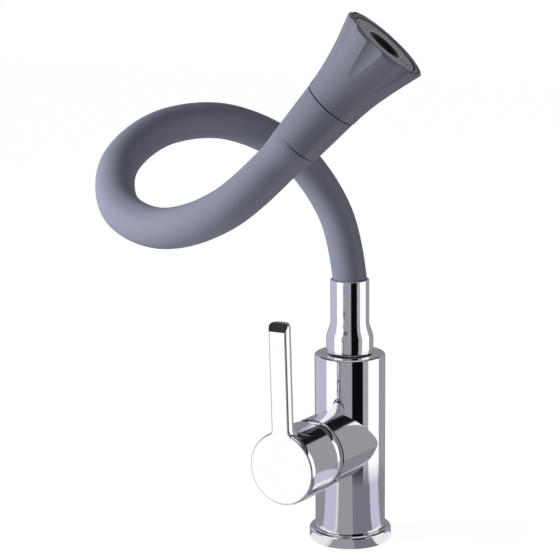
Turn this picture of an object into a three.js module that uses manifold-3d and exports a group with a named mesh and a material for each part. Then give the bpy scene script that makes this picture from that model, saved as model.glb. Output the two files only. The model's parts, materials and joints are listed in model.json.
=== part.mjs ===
// Kitchen mixer tap: an upright body with a cartridge barrel and lever on its front, and a soft
// gooseneck spout that loops out to a fluted spray head.
// Millimetres, +Z up. The origin is the centre of the base's underside, on the worktop, and the
// barrel points along -Y.

import * as THREE from 'three';
import { mergeVertices } from 'three/addons/utils/BufferGeometryUtils.js';
import Module from 'manifold-3d';

const wasm = await Module();
wasm.setup();

// Clearances between pieces, and the overrun of every cut
const clearance = 0.3;
const slip = 0.1;
const overrun = 1;

// Body and base ring
const bodyRadius = 22.5;
const bodyHeight = 120;
const bodyShoulder = 1.5;
const footWall = 3.5;
const flangeRadius = 26.3;
const flangeHeight = 8;
const flangeTopRounding = 2;
const flangeFootRounding = 0.8;
const sealWidth = 3;
const sealHeight = 1.7;
const sealInset = 2;

// Threaded holes in the underside: two hose inlets and a fixing stud
const inletRadius = 4.6;
const inletDepth = 12;
const inletSpread = 9.5;
const inletSetBack = 2;
const studHoleRadius = 3.4;
const studHoleDepth = 15;
const studSetBack = 11;
const ductRadius = 3.5;
const outletDuctRadius = 4;

// Cartridge barrel
const barrelHeight = 66;
const barrelRadius = 21.5;
const barrelReach = 44.3;
const barrelChamfer = 1.6;
const barrelWall = 2.8;
const threadDepth = 6;
const threadStep = 0.9;
const chamberDepth = 32.3;

// Ceramic cartridge, stacked outwards from the chamber floor
const cartridgeBaseHeight = 7.7;
const fixedDiscHeight = 4;
const movingDiscHeight = 3.7;
const carrierHeight = 5.4;
const rotorFlangeHeight = 1.7;
const rotorNoseWall = 2.7;
const shellWall = 2.3;
const shellShoulder = 2.2;
const neckStep = 1.7;
const neckWall = 1.7;
const neckLength = 7.5;
const discTravelRoom = 4.6;
const portRadius = 3.2;
const portSpread = 7;
const portDrop = 5;
const portRise = 8;
const sealGrooveWidth = 2;
const sealGrooveDepth = 2.2;
const sealWall = 1.4;
const keyWidth = 3;
const keyDepth = 1.5;

// Spindle that the lever tilts and turns
const ballRadius = 2.6;
const socketFloor = 0.6;
const spindleArm = 14;
const spindleNeckRadius = 1.9;
const spindleWidth = 8;
const spindleSetBack = 3;
const pinRadius = 1.5;
const slotHeight = 17;

// Retaining nut and domed trim ring
const nutCollar = 4.2;
const nutCollarStep = 1;
const nutNotchWidth = 5;
const nutNotchDepth = 1.8;
const nutNotches = 6;
const domeWall = 2;
const domeNose = 11;

// Lever handle: a cup whose front disc runs up into a flat lever
const handleRadius = 22.2;
const handleReach = 77.7;
const handleFaceWall = 6.7;
const skirtWall = 2;
const ringShow = 6.7;
const handleBevel = 0.6;
const leverWidth = 11.4;
const leverTop = 88;
const leverFillet = 4;
const leverCorner = 2.7;
const leverTipDrop = 9;
const leverTipSetBack = 5;
const hubRadius = 8.5;
const hubShare = 0.635;
const screwRadius = 2.1;
const screwSocketRadius = 1.1;
const screwSocketDepth = 2;
const plugRadius = 3;
const plugWall = 1.6;

// Spout swivel: a stem in the body's socket, with rings, a clip and a glide washer
const socketRadius = 10;
const socketDepth = 26;
const stemBore = 2;
const neckCut = 0.7;
const ringGrooveDepth = 2.2;
const ringGrooveHeight = 2.8;
const clipGrooveDepth = 1.2;
const clipHeight = 1.6;
const clipGapAngle = Math.PI / 5;
const glideHeight = 0.7;
const glideInset = 0.8;
const nippleLength = 9;
const tubeWallGap = 0.5;

// Chrome ferrule at the spout's foot
const ferruleHeight = 47;
const ferruleFootRadius = 13.4;
const ferruleBulgeRadius = 14.9;
const ferruleTopRadius = 12.25;
const ferruleFootHeight = 3;
const ferruleBulgeHeight = 12;
const ferruleFlareHeight = 23;
const ferruleLip = 0.6;
const hoseInsert = 27;

// Gooseneck: silicone sleeve, wound steel core and water tube
const sleeveRadius = 10.75;
const sleeveWall = 2.05;
const coreRadius = 8;
const coreWall = 2.3;
const waterRadius = 5;
const waterWall = 1.5;
const bendGap = 3.6;
const cuffLength = 16;
const cuffRadius = 12.1;
const cuffBore = 9.7;
const cuffMiddleShare = 0.25;

// Nozzle collar and fluted spray head
const collarLength = 24.8;
const collarRearRadius = 12.1;
const collarFrontRadius = 14.1;
const collarGroove = 0.7;
const headLength = 39.8;
const headNeckRadius = 14.4;
const headWaist = 16;
const headWaistRadius = 16.9;
const headNeckPower = 1.4;
const headRimRadius = 21.8;
const headRimRounding = 2;
const headRimAngle = Math.PI / 8;
const headWall = 3;
const mouthRadius = 17.4;
const mouthDepth = 4;
const mouthLedge = 1;
const neckDepth = 10;
const flutes = 8;
const fluteRise = 19;
const fluteHalfAngle = 12 * Math.PI / 180;
const inletTubeRadius = 6;
const inletFlangeRadius = 9;
const inletFlangeHeight = 1.8;
const headRingDepth = 1.4;
const headRingHeight = 2.2;
const chamberWall = 1.6;
const chamberPlate = 2.4;
const aeratorRadius = 8.7;
const aeratorWall = 1.5;
const aeratorSetBack = 1.2;
const waterSlot = 1.5;
const insertHeight = 9;
const insertSlots = 8;
const insertSlotWidth = 1.6;
const insertSlotShares = [0.33, 0.82];
const screenHeight = 1.2;
const screenHoleRadius = 1.2;
const screenHoles = 6;
const plateHeight = 1.8;
const nubHeight = 1.8;
const nubRadius = 0.75;
const nubTipRadius = 0.4;
const nubCounts = [12, 18];

// Facets round a big, a middling and a small circle, round the sleeve, a hexagon and a nub, and
// steps along curves
const bigSides = 32;
const midSides = 20;
const smallSides = 8;
const sleeveSides = 12;
const hexSides = 6;
const nubSides = 4;
const cornerSteps = 2;
const curveSteps = 3;
const sealSteps = 6;

// The spout's route from the ferrule's top, in shares of one span, looping out in front
const routeSpan = 100;
const routeShares = [
  [0, 0, -0.06],
  [0, 0, 0],
  [-0.09, -0.03, 0.42],
  [-0.28, -0.23, 0.81],
  [-0.51, -0.56, 1.01],
  [-0.65, -0.99, 1.02],
  [-0.54, -1.59, 0.87],
  [-0.28, -1.91, 0.69],
  [0.12, -2.07, 0.64],
  [0.57, -2.14, 0.79],
  [0.96, -2.08, 1.13],
  [1.12, -2.03, 1.32],
];
const routeSteps = 32;
const routeDivisions = 600;

// Where the core bends, in shares of the route, and where the clip and the rings lie in the
// socket, and the nubs' circles on the spray plate
const bendPlaceShares = [0.27, 0.5, 0.73];
const clipPlaceShare = 0.78;
const ringPlaceShares = [0.2, 0.46];
const nubCircleShares = [0.3, 0.72];

// Sizes that follow from the ones above
const footRadius = bodyRadius - footWall;
const threadRadius = barrelRadius - barrelWall;
const chamberRadius = threadRadius - threadStep;
const chamberFloor = barrelReach - chamberDepth;
const cartridgeRadius = chamberRadius - clearance;
const cavityRadius = cartridgeRadius - shellWall;
const neckRadius = cavityRadius - neckStep;
const baseStart = chamberFloor + clearance;
const fixedDiscStart = baseStart + cartridgeBaseHeight + clearance;
const movingDiscStart = fixedDiscStart + fixedDiscHeight + clearance;
const carrierStart = movingDiscStart + movingDiscHeight + clearance;
const rotorStart = carrierStart + carrierHeight + clearance;
const shoulderStart = rotorStart + rotorFlangeHeight + clearance;
const nutStart = shoulderStart + shellShoulder + clearance;
const neckEnd = shoulderStart + shellShoulder + neckLength;
const ballReach = carrierStart + socketFloor + 2 * slip + ballRadius;
const pivotReach = ballReach + spindleArm;
const pinBore = pinRadius + clearance;
const rotorEnd = pivotReach + pinBore + rotorNoseWall;
const plateReach = handleReach - handleFaceWall;
const spindleEnd = plateReach - spindleSetBack;
const hubLength = hubShare * (plateReach - rotorEnd);
const movingRadius = cavityRadius - clearance - discTravelRoom;
const skirtInnerRadius = handleRadius - skirtWall;
const skirtReach = barrelReach + ringShow;
const domeRadius = skirtInnerRadius - clearance;
const stemRadius = socketRadius - clearance;
const stemNeckRadius = stemRadius - neckCut;
const glideStart = bodyHeight + slip;
const ferruleStart = glideStart + glideHeight + slip;
const ferruleTop = ferruleStart + ferruleHeight;
const hoseStart = ferruleTop - hoseInsert;
const sleeveBore = sleeveRadius - sleeveWall;
const coreBore = coreRadius - coreWall;
const waterBore = waterRadius - waterWall;
const nippleRadius = waterBore - 2 * clearance;
const clipPlace = bodyHeight - socketDepth * (1 - clipPlaceShare);

// Colours of the finishes
const finishes = {
  chrome: { color: 0xc9ccd2, roughness: 0.08, metalness: 1 },
  brass: { color: 0xb99a58, roughness: 0.35, metalness: 1 },
  steel: { color: 0xa9abad, roughness: 0.4, metalness: 1 },
  silicone: { color: 0x666874, roughness: 0.5, metalness: 0 },
  greyPlastic: { color: 0x70727e, roughness: 0.4, metalness: 0 },
  whitePlastic: { color: 0xe4e4df, roughness: 0.5, metalness: 0 },
  blackPlastic: { color: 0x1d1d1f, roughness: 0.5, metalness: 0 },
  rubber: { color: 0x232323, roughness: 0.8, metalness: 0 },
  ceramic: { color: 0xf1efe8, roughness: 0.25, metalness: 0 },
  clear: { color: 0xd8dde0, roughness: 0.3, metalness: 0 },
};

// Geometry helpers

// A geometry with its shared corners joined and its empty triangles left out
function weld(geometry) {
  const bare = geometry.clone();
  bare.deleteAttribute('normal');
  bare.deleteAttribute('uv');
  const merged = mergeVertices(bare);
  const index = merged.index.array;
  const kept = [];
  for (let i = 0; i < index.length; i += 3) {
    const [a, b, c] = index.subarray(i, i + 3);
    if (a !== b && b !== c && c !== a) kept.push(a, b, c);
  }
  merged.setIndex(kept);
  return merged;
}

function toSolid(geometry) {
  const welded = weld(geometry);
  return new wasm.Manifold(new wasm.Mesh({
    numProp: 3,
    vertProperties: welded.attributes.position.array,
    triVerts: new Uint32Array(welded.index.array),
  }));
}

function toGeometry(solid) {
  const mesh = solid.getMesh();
  const geometry = new THREE.BufferGeometry();
  geometry.setAttribute('position', new THREE.BufferAttribute(mesh.vertProperties, 3));
  geometry.setIndex(new THREE.BufferAttribute(mesh.triVerts, 1));
  return geometry;
}

function cut(geometry, tools) {
  let solid = toSolid(geometry);
  for (const tool of tools) solid = solid.subtract(toSolid(tool));
  return toGeometry(solid);
}

function join(geometries) {
  let solid = toSolid(geometries[0]);
  for (const other of geometries.slice(1)) solid = solid.add(toSolid(other));
  return toGeometry(solid);
}

// A solid turned about +Z from [radius, height] points, listed round the section anticlockwise
function turned(points, sides) {
  const profile = points.map(([radius, height]) => new THREE.Vector2(radius, height));
  return new THREE.LatheGeometry(profile, sides).rotateX(Math.PI / 2);
}

// A turned ring, closed by repeating its first point
function turnedRing(points, sides) {
  return turned([...points, points[0]], sides);
}

function washer(inner, outer, low, high, sides) {
  return turnedRing([[inner, low], [outer, low], [outer, high], [inner, high]], sides);
}

// Points of a round corner about a centre, between two angles from the radius axis
function corner(radius, height, rounding, from, to, steps = cornerSteps) {
  return Array.from({ length: steps + 1 }, (_, i) => {
    const angle = from + (to - from) * i / steps;
    return [radius + rounding * Math.cos(angle), height + rounding * Math.sin(angle)];
  });
}

// A round rod along +Z between two heights
function rod(radius, low, high, sides, x = 0, y = 0) {
  const length = high - low;
  return new THREE.CylinderGeometry(radius, radius, length, sides)
    .rotateX(Math.PI / 2)
    .translate(x, y, low + length / 2);
}

// A round rod along the barrel, from the body's axis outwards along -Y
function barrelRod(radius, near, far, sides, x = 0, z = 0) {
  return rod(radius, near, far, sides, x, z).rotateX(Math.PI / 2);
}

// A block between two corners
function block(low, high) {
  const size = high.map((value, i) => value - low[i]);
  const middle = low.map((value, i) => value + size[i] / 2);
  return new THREE.BoxGeometry(...size).translate(...middle);
}

function piece(name, geometry, finish) {
  const mesh = new THREE.Mesh(geometry, new THREE.MeshStandardMaterial(finishes[finish]));
  mesh.name = name;
  return mesh;
}

// A rubber ring of round section between two radii
function sealRing(inner, outer, height, sides) {
  const section = (outer - inner) / 2;
  const points = corner(inner + section, height, section, 0, 2 * Math.PI, sealSteps);
  return turned(points, sides);
}

const tap = new THREE.Group();

// Body

// Turned blank and barrel, joined, then bored for the cartridge, the spout and the waterways
function bodyGeometry() {
  const seat = flangeHeight + clearance;
  const blank = turned([
    [0, 0],
    [footRadius, 0],
    [footRadius, seat],
    [bodyRadius, seat],
    ...corner(bodyRadius - bodyShoulder, bodyHeight - bodyShoulder, bodyShoulder, 0, Math.PI / 2),
    [0, bodyHeight],
  ], bigSides);
  const barrel = turned([
    [0, 0],
    [barrelRadius, 0],
    [barrelRadius, barrelReach - barrelChamfer],
    [barrelRadius - barrelChamfer, barrelReach],
    [0, barrelReach],
  ], bigSides).rotateX(Math.PI / 2).translate(0, 0, barrelHeight);
  return cut(join([blank, barrel]), [
    ...cartridgeChamber(),
    ...inletWays(),
    ...outletWay(),
    ...spoutSocket(),
    rod(studHoleRadius, -overrun, studHoleDepth, smallSides, 0, studSetBack),
  ]);
}

function cartridgeChamber() {
  const keyway = block(
    [-keyWidth / 2 - clearance, 0, chamberFloor],
    [keyWidth / 2 + clearance, chamberRadius + keyDepth / 2, barrelReach - threadDepth],
  ).rotateX(Math.PI / 2);
  return [
    barrelRod(chamberRadius, chamberFloor, barrelReach + overrun, midSides),
    barrelRod(threadRadius, barrelReach - threadDepth, barrelReach + overrun, midSides),
    keyway,
  ].map((tool) => tool.translate(0, 0, barrelHeight));
}

// Hot and cold ways rise from the hose inlets and turn forward to the cartridge
function inletWays() {
  const portHeight = barrelHeight - portDrop;
  return [-1, 1].flatMap((side) => [
    rod(inletRadius, -overrun, inletDepth, smallSides, side * inletSpread, inletSetBack),
    rod(ductRadius, 0, portHeight + ductRadius, smallSides, side * inletSpread, inletSetBack),
    barrelRod(ductRadius, -inletSetBack, chamberFloor + overrun, smallSides, side * portSpread, 0)
      .translate(0, 0, portHeight),
  ]);
}

// The mixed way runs back from the cartridge and rises to the spout
function outletWay() {
  const portHeight = barrelHeight + portRise;
  return [
    barrelRod(outletDuctRadius, 0, chamberFloor + overrun, smallSides).translate(0, 0, portHeight),
    rod(outletDuctRadius, portHeight, bodyHeight - socketDepth + overrun, smallSides),
  ];
}

function spoutSocket() {
  const groove = clipHeight / 2 + clearance;
  return [
    rod(socketRadius, bodyHeight - socketDepth, bodyHeight + overrun, midSides),
    rod(socketRadius + clipGrooveDepth, clipPlace - groove, clipPlace + groove, midSides),
  ];
}

tap.add(piece('mixer_body', bodyGeometry(), 'chrome'));

// Base ring with a groove for its seal
function flangeGeometry() {
  const bore = footRadius + clearance;
  const sealOuter = flangeRadius - sealInset + clearance;
  const sealInner = sealOuter - sealWidth - 2 * clearance;
  const topCorner = flangeRadius - flangeTopRounding;
  const topHeight = flangeHeight - flangeTopRounding;
  return turnedRing([
    [bore, 0],
    [sealInner, 0],
    [sealInner, sealHeight + clearance],
    [sealOuter, sealHeight + clearance],
    [sealOuter, 0],
    [flangeRadius - flangeFootRounding, 0],
    [flangeRadius, flangeFootRounding],
    ...corner(topCorner, topHeight, flangeTopRounding, 0, Math.PI / 2),
    [bore, flangeHeight],
  ], bigSides);
}

tap.add(piece('base_ring', flangeGeometry(), 'chrome'));
tap.add(piece('base_seal', washer(
  flangeRadius - sealInset - sealWidth,
  flangeRadius - sealInset,
  0,
  sealHeight,
  midSides,
), 'rubber'));

// Cartridge: everything on the barrel's axis, with local +Z pointing out of the barrel
const barrelGroup = new THREE.Group();
barrelGroup.position.set(0, 0, barrelHeight);
barrelGroup.rotation.x = Math.PI / 2;
tap.add(barrelGroup);

const portPlaces = {
  cold: [portSpread, -portDrop],
  hot: [-portSpread, -portDrop],
  outlet: [0, portRise],
};

function portTools(low, high, radius = portRadius) {
  return Object.values(portPlaces).map(([x, y]) => rod(radius, low, high, smallSides, x, y));
}

function cartridgeBaseGeometry() {
  const end = baseStart + cartridgeBaseHeight;
  return cut(turned([
    [0, baseStart],
    [cartridgeRadius, baseStart],
    [cartridgeRadius, end],
    [0, end],
  ], midSides), [
    ...portTools(baseStart - overrun, end + overrun),
    ...portTools(baseStart - overrun, baseStart + sealGrooveDepth, portRadius + sealGrooveWidth),
  ]);
}

// The base's ports are sealed to the body's ways by rings that seat in its counterbores
function portSeal([x, y]) {
  const outer = portRadius + sealGrooveWidth - clearance;
  return washer(outer - sealWall, outer, baseStart, baseStart + sealGrooveDepth - clearance, smallSides)
    .translate(x, y, 0);
}

function shellGeometry() {
  const low = fixedDiscStart;
  const shoulderEnd = shoulderStart + shellShoulder;
  const wall = turnedRing([
    [cavityRadius, low],
    [cartridgeRadius, low],
    [cartridgeRadius, shoulderEnd],
    [neckRadius + neckWall, shoulderEnd],
    [neckRadius + neckWall, neckEnd],
    [neckRadius, neckEnd],
    [neckRadius, shoulderStart],
    [cavityRadius, shoulderStart],
  ], midSides);
  const key = block(
    [-keyWidth / 2, cartridgeRadius - keyDepth, low],
    [keyWidth / 2, cartridgeRadius + keyDepth / 2 - clearance, shoulderStart - clearance],
  );
  return join([wall, key]);
}

function fixedDiscGeometry() {
  const radius = cavityRadius - clearance;
  const end = fixedDiscStart + fixedDiscHeight;
  return cut(
    rod(radius, fixedDiscStart, end, midSides),
    portTools(fixedDiscStart - overrun, end + overrun, portRadius),
  );
}

// The moving disc has a pocket that joins the ports it uncovers
function movingDiscGeometry() {
  const end = movingDiscStart + movingDiscHeight;
  return cut(rod(movingRadius, movingDiscStart, end, midSides), [
    rod(movingRadius / 2, movingDiscStart - overrun, movingDiscStart + movingDiscHeight / 2, smallSides),
  ]);
}

function carrierGeometry() {
  const end = carrierStart + carrierHeight;
  return cut(rod(movingRadius, carrierStart, end, midSides), [
    rod(ballRadius + clearance, carrierStart + socketFloor, end + overrun, smallSides),
  ]);
}

// The rotor turns in the shell's neck, and the spindle tilts in its slot
function rotorGeometry() {
  const radius = neckRadius - clearance;
  const flangeEnd = rotorStart + rotorFlangeHeight;
  const slot = spindleWidth / 2 + clearance;
  return cut(turned([
    [0, rotorStart],
    [cavityRadius - clearance, rotorStart],
    [cavityRadius - clearance, flangeEnd],
    [radius, flangeEnd],
    [radius, rotorEnd],
    [0, rotorEnd],
  ], midSides), [
    block([-slot, -slotHeight / 2, rotorStart - overrun], [slot, slotHeight / 2, rotorEnd + overrun]),
    pinRod(pinBore, 2 * neckRadius),
  ]);
}

function spindleGeometry() {
  const half = spindleWidth / 2;
  const shank = pivotReach - spindleWidth;
  return cut(join([
    new THREE.SphereGeometry(ballRadius, smallSides, smallSides / 2).translate(0, 0, ballReach),
    rod(spindleNeckRadius, ballReach, shank + overrun, smallSides),
    block([-half, -half, shank], [half, half, spindleEnd]),
  ]), [pinRod(pinBore, spindleWidth + 2 * overrun)]);
}

// A round rod along the lever's tilting axis
function pinRod(radius, length) {
  return new THREE.CylinderGeometry(radius, radius, length, smallSides)
    .rotateZ(Math.PI / 2)
    .translate(0, 0, pivotReach);
}

// The nut screws into the barrel and holds the shell's shoulder; a collar takes the wrench
function nutGeometry() {
  const inner = neckRadius + neckWall + clearance;
  const outer = threadRadius - clearance;
  const collar = barrelReach + clearance;
  const end = collar + nutCollar;
  const ring = turnedRing([
    [inner, nutStart],
    [outer, nutStart],
    [outer, collar],
    [outer - nutCollarStep, collar],
    [outer - nutCollarStep, end],
    [inner, end],
  ], midSides);
  const notches = Array.from({ length: nutNotches }, (_, i) => block(
    [inner - overrun, -nutNotchWidth / 2, end - nutNotchDepth],
    [outer + overrun, nutNotchWidth / 2, end + overrun],
  ).rotateZ(2 * Math.PI * i / nutNotches));
  return cut(ring, notches);
}

// The trim ring is a dome about the lever's pivot, so the tilting handle keeps its gap to it
function trimRingGeometry() {
  const rear = barrelReach + clearance;
  const inner = threadRadius - nutCollarStep;
  const innerDome = domeRadius - domeWall;
  const rearAngle = Math.asin((rear - pivotReach) / domeRadius);
  const noseAngle = Math.asin(domeNose / domeRadius);
  const innerNoseAngle = Math.asin(domeNose / innerDome);
  const innerRearAngle = Math.acos(inner / innerDome);
  return turnedRing([
    [inner, rear],
    ...corner(0, pivotReach, domeRadius, rearAngle, noseAngle, curveSteps),
    ...corner(0, pivotReach, innerDome, innerNoseAngle, innerRearAngle),
  ], bigSides);
}

barrelGroup.add(
  piece('cartridge_base', cartridgeBaseGeometry(), 'whitePlastic'),
  piece('hot_port_seal', portSeal(portPlaces.hot), 'rubber'),
  piece('cold_port_seal', portSeal(portPlaces.cold), 'rubber'),
  piece('outlet_port_seal', portSeal(portPlaces.outlet), 'rubber'),
  piece('cartridge_shell', shellGeometry(), 'whitePlastic'),
  piece('fixed_ceramic_disc', fixedDiscGeometry(), 'ceramic'),
  piece('moving_ceramic_disc', movingDiscGeometry(), 'ceramic'),
  piece('disc_carrier', carrierGeometry(), 'whitePlastic'),
  piece('cartridge_rotor', rotorGeometry(), 'whitePlastic'),
  piece('spindle', spindleGeometry(), 'brass'),
  piece('spindle_pin', pinRod(pinRadius, 2 * (neckRadius - 2 * clearance)), 'steel'),
  piece('retaining_nut', nutGeometry(), 'brass'),
  piece('trim_ring', trimRingGeometry(), 'chrome'),
);

// Lever handle

// Front outline: the disc, and the lever that rises from it through two concave fillets
function handleOutline() {
  const radius = handleRadius - handleBevel;
  const edge = leverWidth / 2 - handleBevel;
  const filletX = edge + leverFillet;
  const filletY = Math.sqrt((radius + leverFillet) ** 2 - filletX ** 2);
  const touch = Math.atan2(filletY, filletX);
  const tipRounding = leverCorner - handleBevel;
  const tipX = edge - tipRounding;
  const tipY = leverTop - leverCorner;
  const points = [
    ...corner(tipX, tipY, tipRounding, 0, Math.PI / 2),
    ...corner(-tipX, tipY, tipRounding, Math.PI / 2, Math.PI),
    ...corner(-filletX, filletY, leverFillet, 0, -touch, curveSteps),
    ...corner(0, 0, radius, Math.PI - touch, 2 * Math.PI + touch, bigSides).slice(1, -1),
    ...corner(filletX, filletY, leverFillet, Math.PI + touch, Math.PI, curveSteps),
  ];
  return new THREE.Shape(points.map(([x, y]) => new THREE.Vector2(x, y)));
}

// The lever's tip leans back from its front face in a flat
function leverTipTool() {
  const lean = Math.atan2(leverTipSetBack, leverTipDrop);
  return block([-leverWidth, -overrun, 0], [leverWidth, leverTop, leverTipDrop])
    .rotateX(-lean)
    .translate(0, leverTop - leverTipDrop, handleReach);
}

function handleGeometry() {
  const plate = new THREE.ExtrudeGeometry(handleOutline(), {
    depth: handleFaceWall - 2 * handleBevel,
    bevelThickness: handleBevel,
    bevelSize: handleBevel,
    bevelSegments: 1,
  }).translate(0, 0, plateReach + handleBevel);
  const skirtEnd = plateReach + handleFaceWall / 2;
  const skirt = washer(skirtInnerRadius, handleRadius, skirtReach, skirtEnd, bigSides);
  const hub = rod(hubRadius, plateReach - hubLength, plateReach + overrun, midSides);
  const socket = spindleWidth / 2 + clearance;
  const socketStart = plateReach - hubLength - overrun;
  return cut(join([plate, skirt, hub]), [
    leverTipTool(),
    block([-socket, -socket, socketStart], [socket, socket, spindleEnd + clearance]),
    screwTool(screwRadius + slip, 0, hubRadius + overrun),
    screwTool(plugRadius + clearance, skirtInnerRadius - overrun, handleRadius + overrun),
  ]);
}

const screwReach = plateReach - hubLength / 2;

// A round tool that runs down from the barrel's axis under the handle
function screwTool(radius, near, far) {
  const length = far - near;
  return new THREE.CylinderGeometry(radius, radius, length, smallSides)
    .translate(0, -near - length / 2, screwReach);
}

// The set screw clamps the spindle, and a plug hides its way in
function setScrewGeometry() {
  const near = spindleWidth / 2 + slip;
  const depth = 2 * screwSocketDepth;
  const socket = new THREE.CylinderGeometry(screwSocketRadius, screwSocketRadius, depth, hexSides)
    .translate(0, -hubRadius, screwReach);
  return cut(screwTool(screwRadius, near, hubRadius), [socket]);
}

barrelGroup.add(
  piece('lever_handle', handleGeometry(), 'chrome'),
  piece('handle_set_screw', setScrewGeometry(), 'steel'),
  piece('handle_plug', screwTool(plugRadius, handleRadius - plugWall, handleRadius), 'greyPlastic'),
);

// Spout swivel

function stemGeometry() {
  const low = bodyHeight - socketDepth + clearance;
  const grooveRadius = stemRadius - ringGrooveDepth;
  const clipRadius = stemRadius - clipGrooveDepth;
  const clipHalf = clipHeight / 2 + clearance;
  const grooves = ringPlaceShares.flatMap((share) => {
    const middle = low + share * socketDepth;
    return [
      [stemRadius, middle - ringGrooveHeight / 2],
      [grooveRadius, middle - ringGrooveHeight / 2],
      [grooveRadius, middle + ringGrooveHeight / 2],
      [stemRadius, middle + ringGrooveHeight / 2],
    ];
  });
  const neckTop = hoseStart - clearance;
  return turnedRing([
    [stemBore, low],
    [stemRadius, low],
    ...grooves,
    [stemRadius, clipPlace - clipHalf],
    [clipRadius, clipPlace - clipHalf],
    [clipRadius, clipPlace + clipHalf],
    [stemRadius, clipPlace + clipHalf],
    [stemRadius, ferruleStart - clearance],
    [stemNeckRadius, ferruleStart - clearance],
    [stemNeckRadius, neckTop],
    [nippleRadius, neckTop],
    [nippleRadius, hoseStart + nippleLength],
    [stemBore, hoseStart + nippleLength],
  ], midSides);
}

function stemSeal(share) {
  const middle = bodyHeight - socketDepth + clearance + share * socketDepth;
  const inner = stemRadius - ringGrooveDepth + slip;
  return sealRing(inner, socketRadius - slip, middle, midSides);
}

// A sprung C clip stands in the body's groove and the stem's
function clipGeometry() {
  const inner = stemRadius - clipGrooveDepth + clearance;
  const outer = socketRadius + clipGrooveDepth - clearance;
  const shape = new THREE.Shape();
  shape.absarc(0, 0, outer, clipGapAngle / 2, 2 * Math.PI - clipGapAngle / 2, false);
  shape.absarc(0, 0, inner, 2 * Math.PI - clipGapAngle / 2, clipGapAngle / 2, true);
  return new THREE.ExtrudeGeometry(shape, {
    depth: clipHeight,
    bevelEnabled: false,
    curveSegments: smallSides,
  }).translate(0, 0, clipPlace - clipHeight / 2);
}

// Ferrule: a rounded foot, a bulge, and a smooth shoulder up to a slim neck round the sleeve
function ferruleGeometry() {
  const shoulder = Array.from({ length: curveSteps + 1 }, (_, i) => {
    const share = i / curveSteps;
    const blend = share * share * (3 - 2 * share);
    return [
      ferruleBulgeRadius + (ferruleTopRadius - ferruleBulgeRadius) * blend,
      ferruleStart + ferruleBulgeHeight + (ferruleFlareHeight - ferruleBulgeHeight) * share,
    ];
  });
  const footRounding = ferruleBulgeRadius - ferruleFootRadius;
  const foot = Array.from({ length: cornerSteps + 1 }, (_, i) => {
    const angle = Math.PI / 2 * i / cornerSteps;
    return [
      ferruleFootRadius + footRounding * Math.sin(angle),
      ferruleStart + ferruleFootHeight * (1 - Math.cos(angle)),
    ];
  });
  const stemBoreRadius = stemNeckRadius + clearance;
  const sleeveBoreRadius = sleeveRadius + clearance + slip;
  return turnedRing([
    [stemBoreRadius, ferruleStart + clearance],
    [stemBoreRadius + clearance, ferruleStart],
    ...foot,
    ...shoulder,
    ...corner(ferruleTopRadius - ferruleLip, ferruleTop - ferruleLip, ferruleLip, 0, Math.PI / 2),
    [sleeveBoreRadius, ferruleTop],
    [sleeveBoreRadius, hoseStart - clearance],
    [stemBoreRadius, hoseStart - clearance],
  ], midSides);
}

tap.add(
  piece('glide_washer', washer(
    stemRadius + clearance,
    ferruleFootRadius + glideInset,
    glideStart,
    glideStart + glideHeight,
    midSides,
  ), 'blackPlastic'),
  piece('retaining_clip', clipGeometry(), 'steel'),
  piece('spout_stem', stemGeometry(), 'brass'),
  piece('lower_stem_seal', stemSeal(ringPlaceShares[0]), 'rubber'),
  piece('upper_stem_seal', stemSeal(ringPlaceShares[1]), 'rubber'),
  piece('spout_ferrule', ferruleGeometry(), 'chrome'),
);

// Gooseneck

const routePoints = routeShares.map(([x, y, z]) => new THREE.Vector3(
  x * routeSpan,
  y * routeSpan,
  ferruleTop + z * routeSpan,
));
const route = new THREE.CatmullRomCurve3([new THREE.Vector3(0, 0, hoseStart), ...routePoints]);
route.arcLengthDivisions = routeDivisions;
const routeLength = route.getLength();
const routeStep = routeLength / routeSteps;

// A stretch of the route between two lengths from its start
class Stretch extends THREE.Curve {
  constructor(from, to) {
    super();
    this.from = from;
    this.to = to;
  }

  getPoint(t, target = new THREE.Vector3()) {
    const at = this.from + (this.to - this.from) * t;
    return route.getPointAt(at / routeLength, target);
  }
}

function circle(radius, sides) {
  return corner(0, 0, radius, 0, 2 * Math.PI, sides)
    .slice(1)
    .map(([x, y]) => new THREE.Vector2(x, y));
}

function sweep(shape, from, to) {
  return new THREE.ExtrudeGeometry(shape, {
    extrudePath: new Stretch(from, to),
    steps: Math.round((to - from) / routeStep),
    bevelEnabled: false,
  });
}

// A tube from the route's start, over a number of its steps
function tube(radius, bore, steps, sides) {
  const ring = new THREE.Shape(circle(radius, sides));
  ring.holes.push(new THREE.Path(circle(bore, smallSides)));
  return sweep(ring, 0, steps * routeStep);
}

// The spray head's frame: its origin is the groove behind the head, and +Z leaves the mouth
const headGroup = new THREE.Group();
headGroup.position.copy(route.getPointAt(1));
const headAxis = route.getTangentAt(1);
const headSide = new THREE.Vector3(0, 0, 1).cross(headAxis).normalize();
const headUp = headAxis.clone().cross(headSide);
headGroup.setRotationFromMatrix(new THREE.Matrix4().makeBasis(headSide, headUp, headAxis));
tap.add(headGroup);
tap.updateMatrixWorld(true);

// The sleeve widens into a cuff that butts against the nozzle collar
function sleeveGeometry() {
  const cuffEnd = -collarLength - clearance;
  const cuffStart = cuffEnd - cuffLength;
  const cuff = turnedRing([
    [cuffBore, cuffStart],
    [sleeveRadius - slip, cuffStart],
    [sleeveRadius + (cuffRadius - sleeveRadius) * cuffMiddleShare, cuffStart + cuffLength / 2],
    [cuffRadius, cuffEnd],
    [cuffBore, cuffEnd],
  ], sleeveSides).applyMatrix4(headGroup.matrixWorld);
  const steps = Math.floor(routeSteps + cuffEnd / routeStep);
  return join([tube(sleeveRadius, sleeveBore, steps, sleeveSides), cuff]);
}

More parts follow.
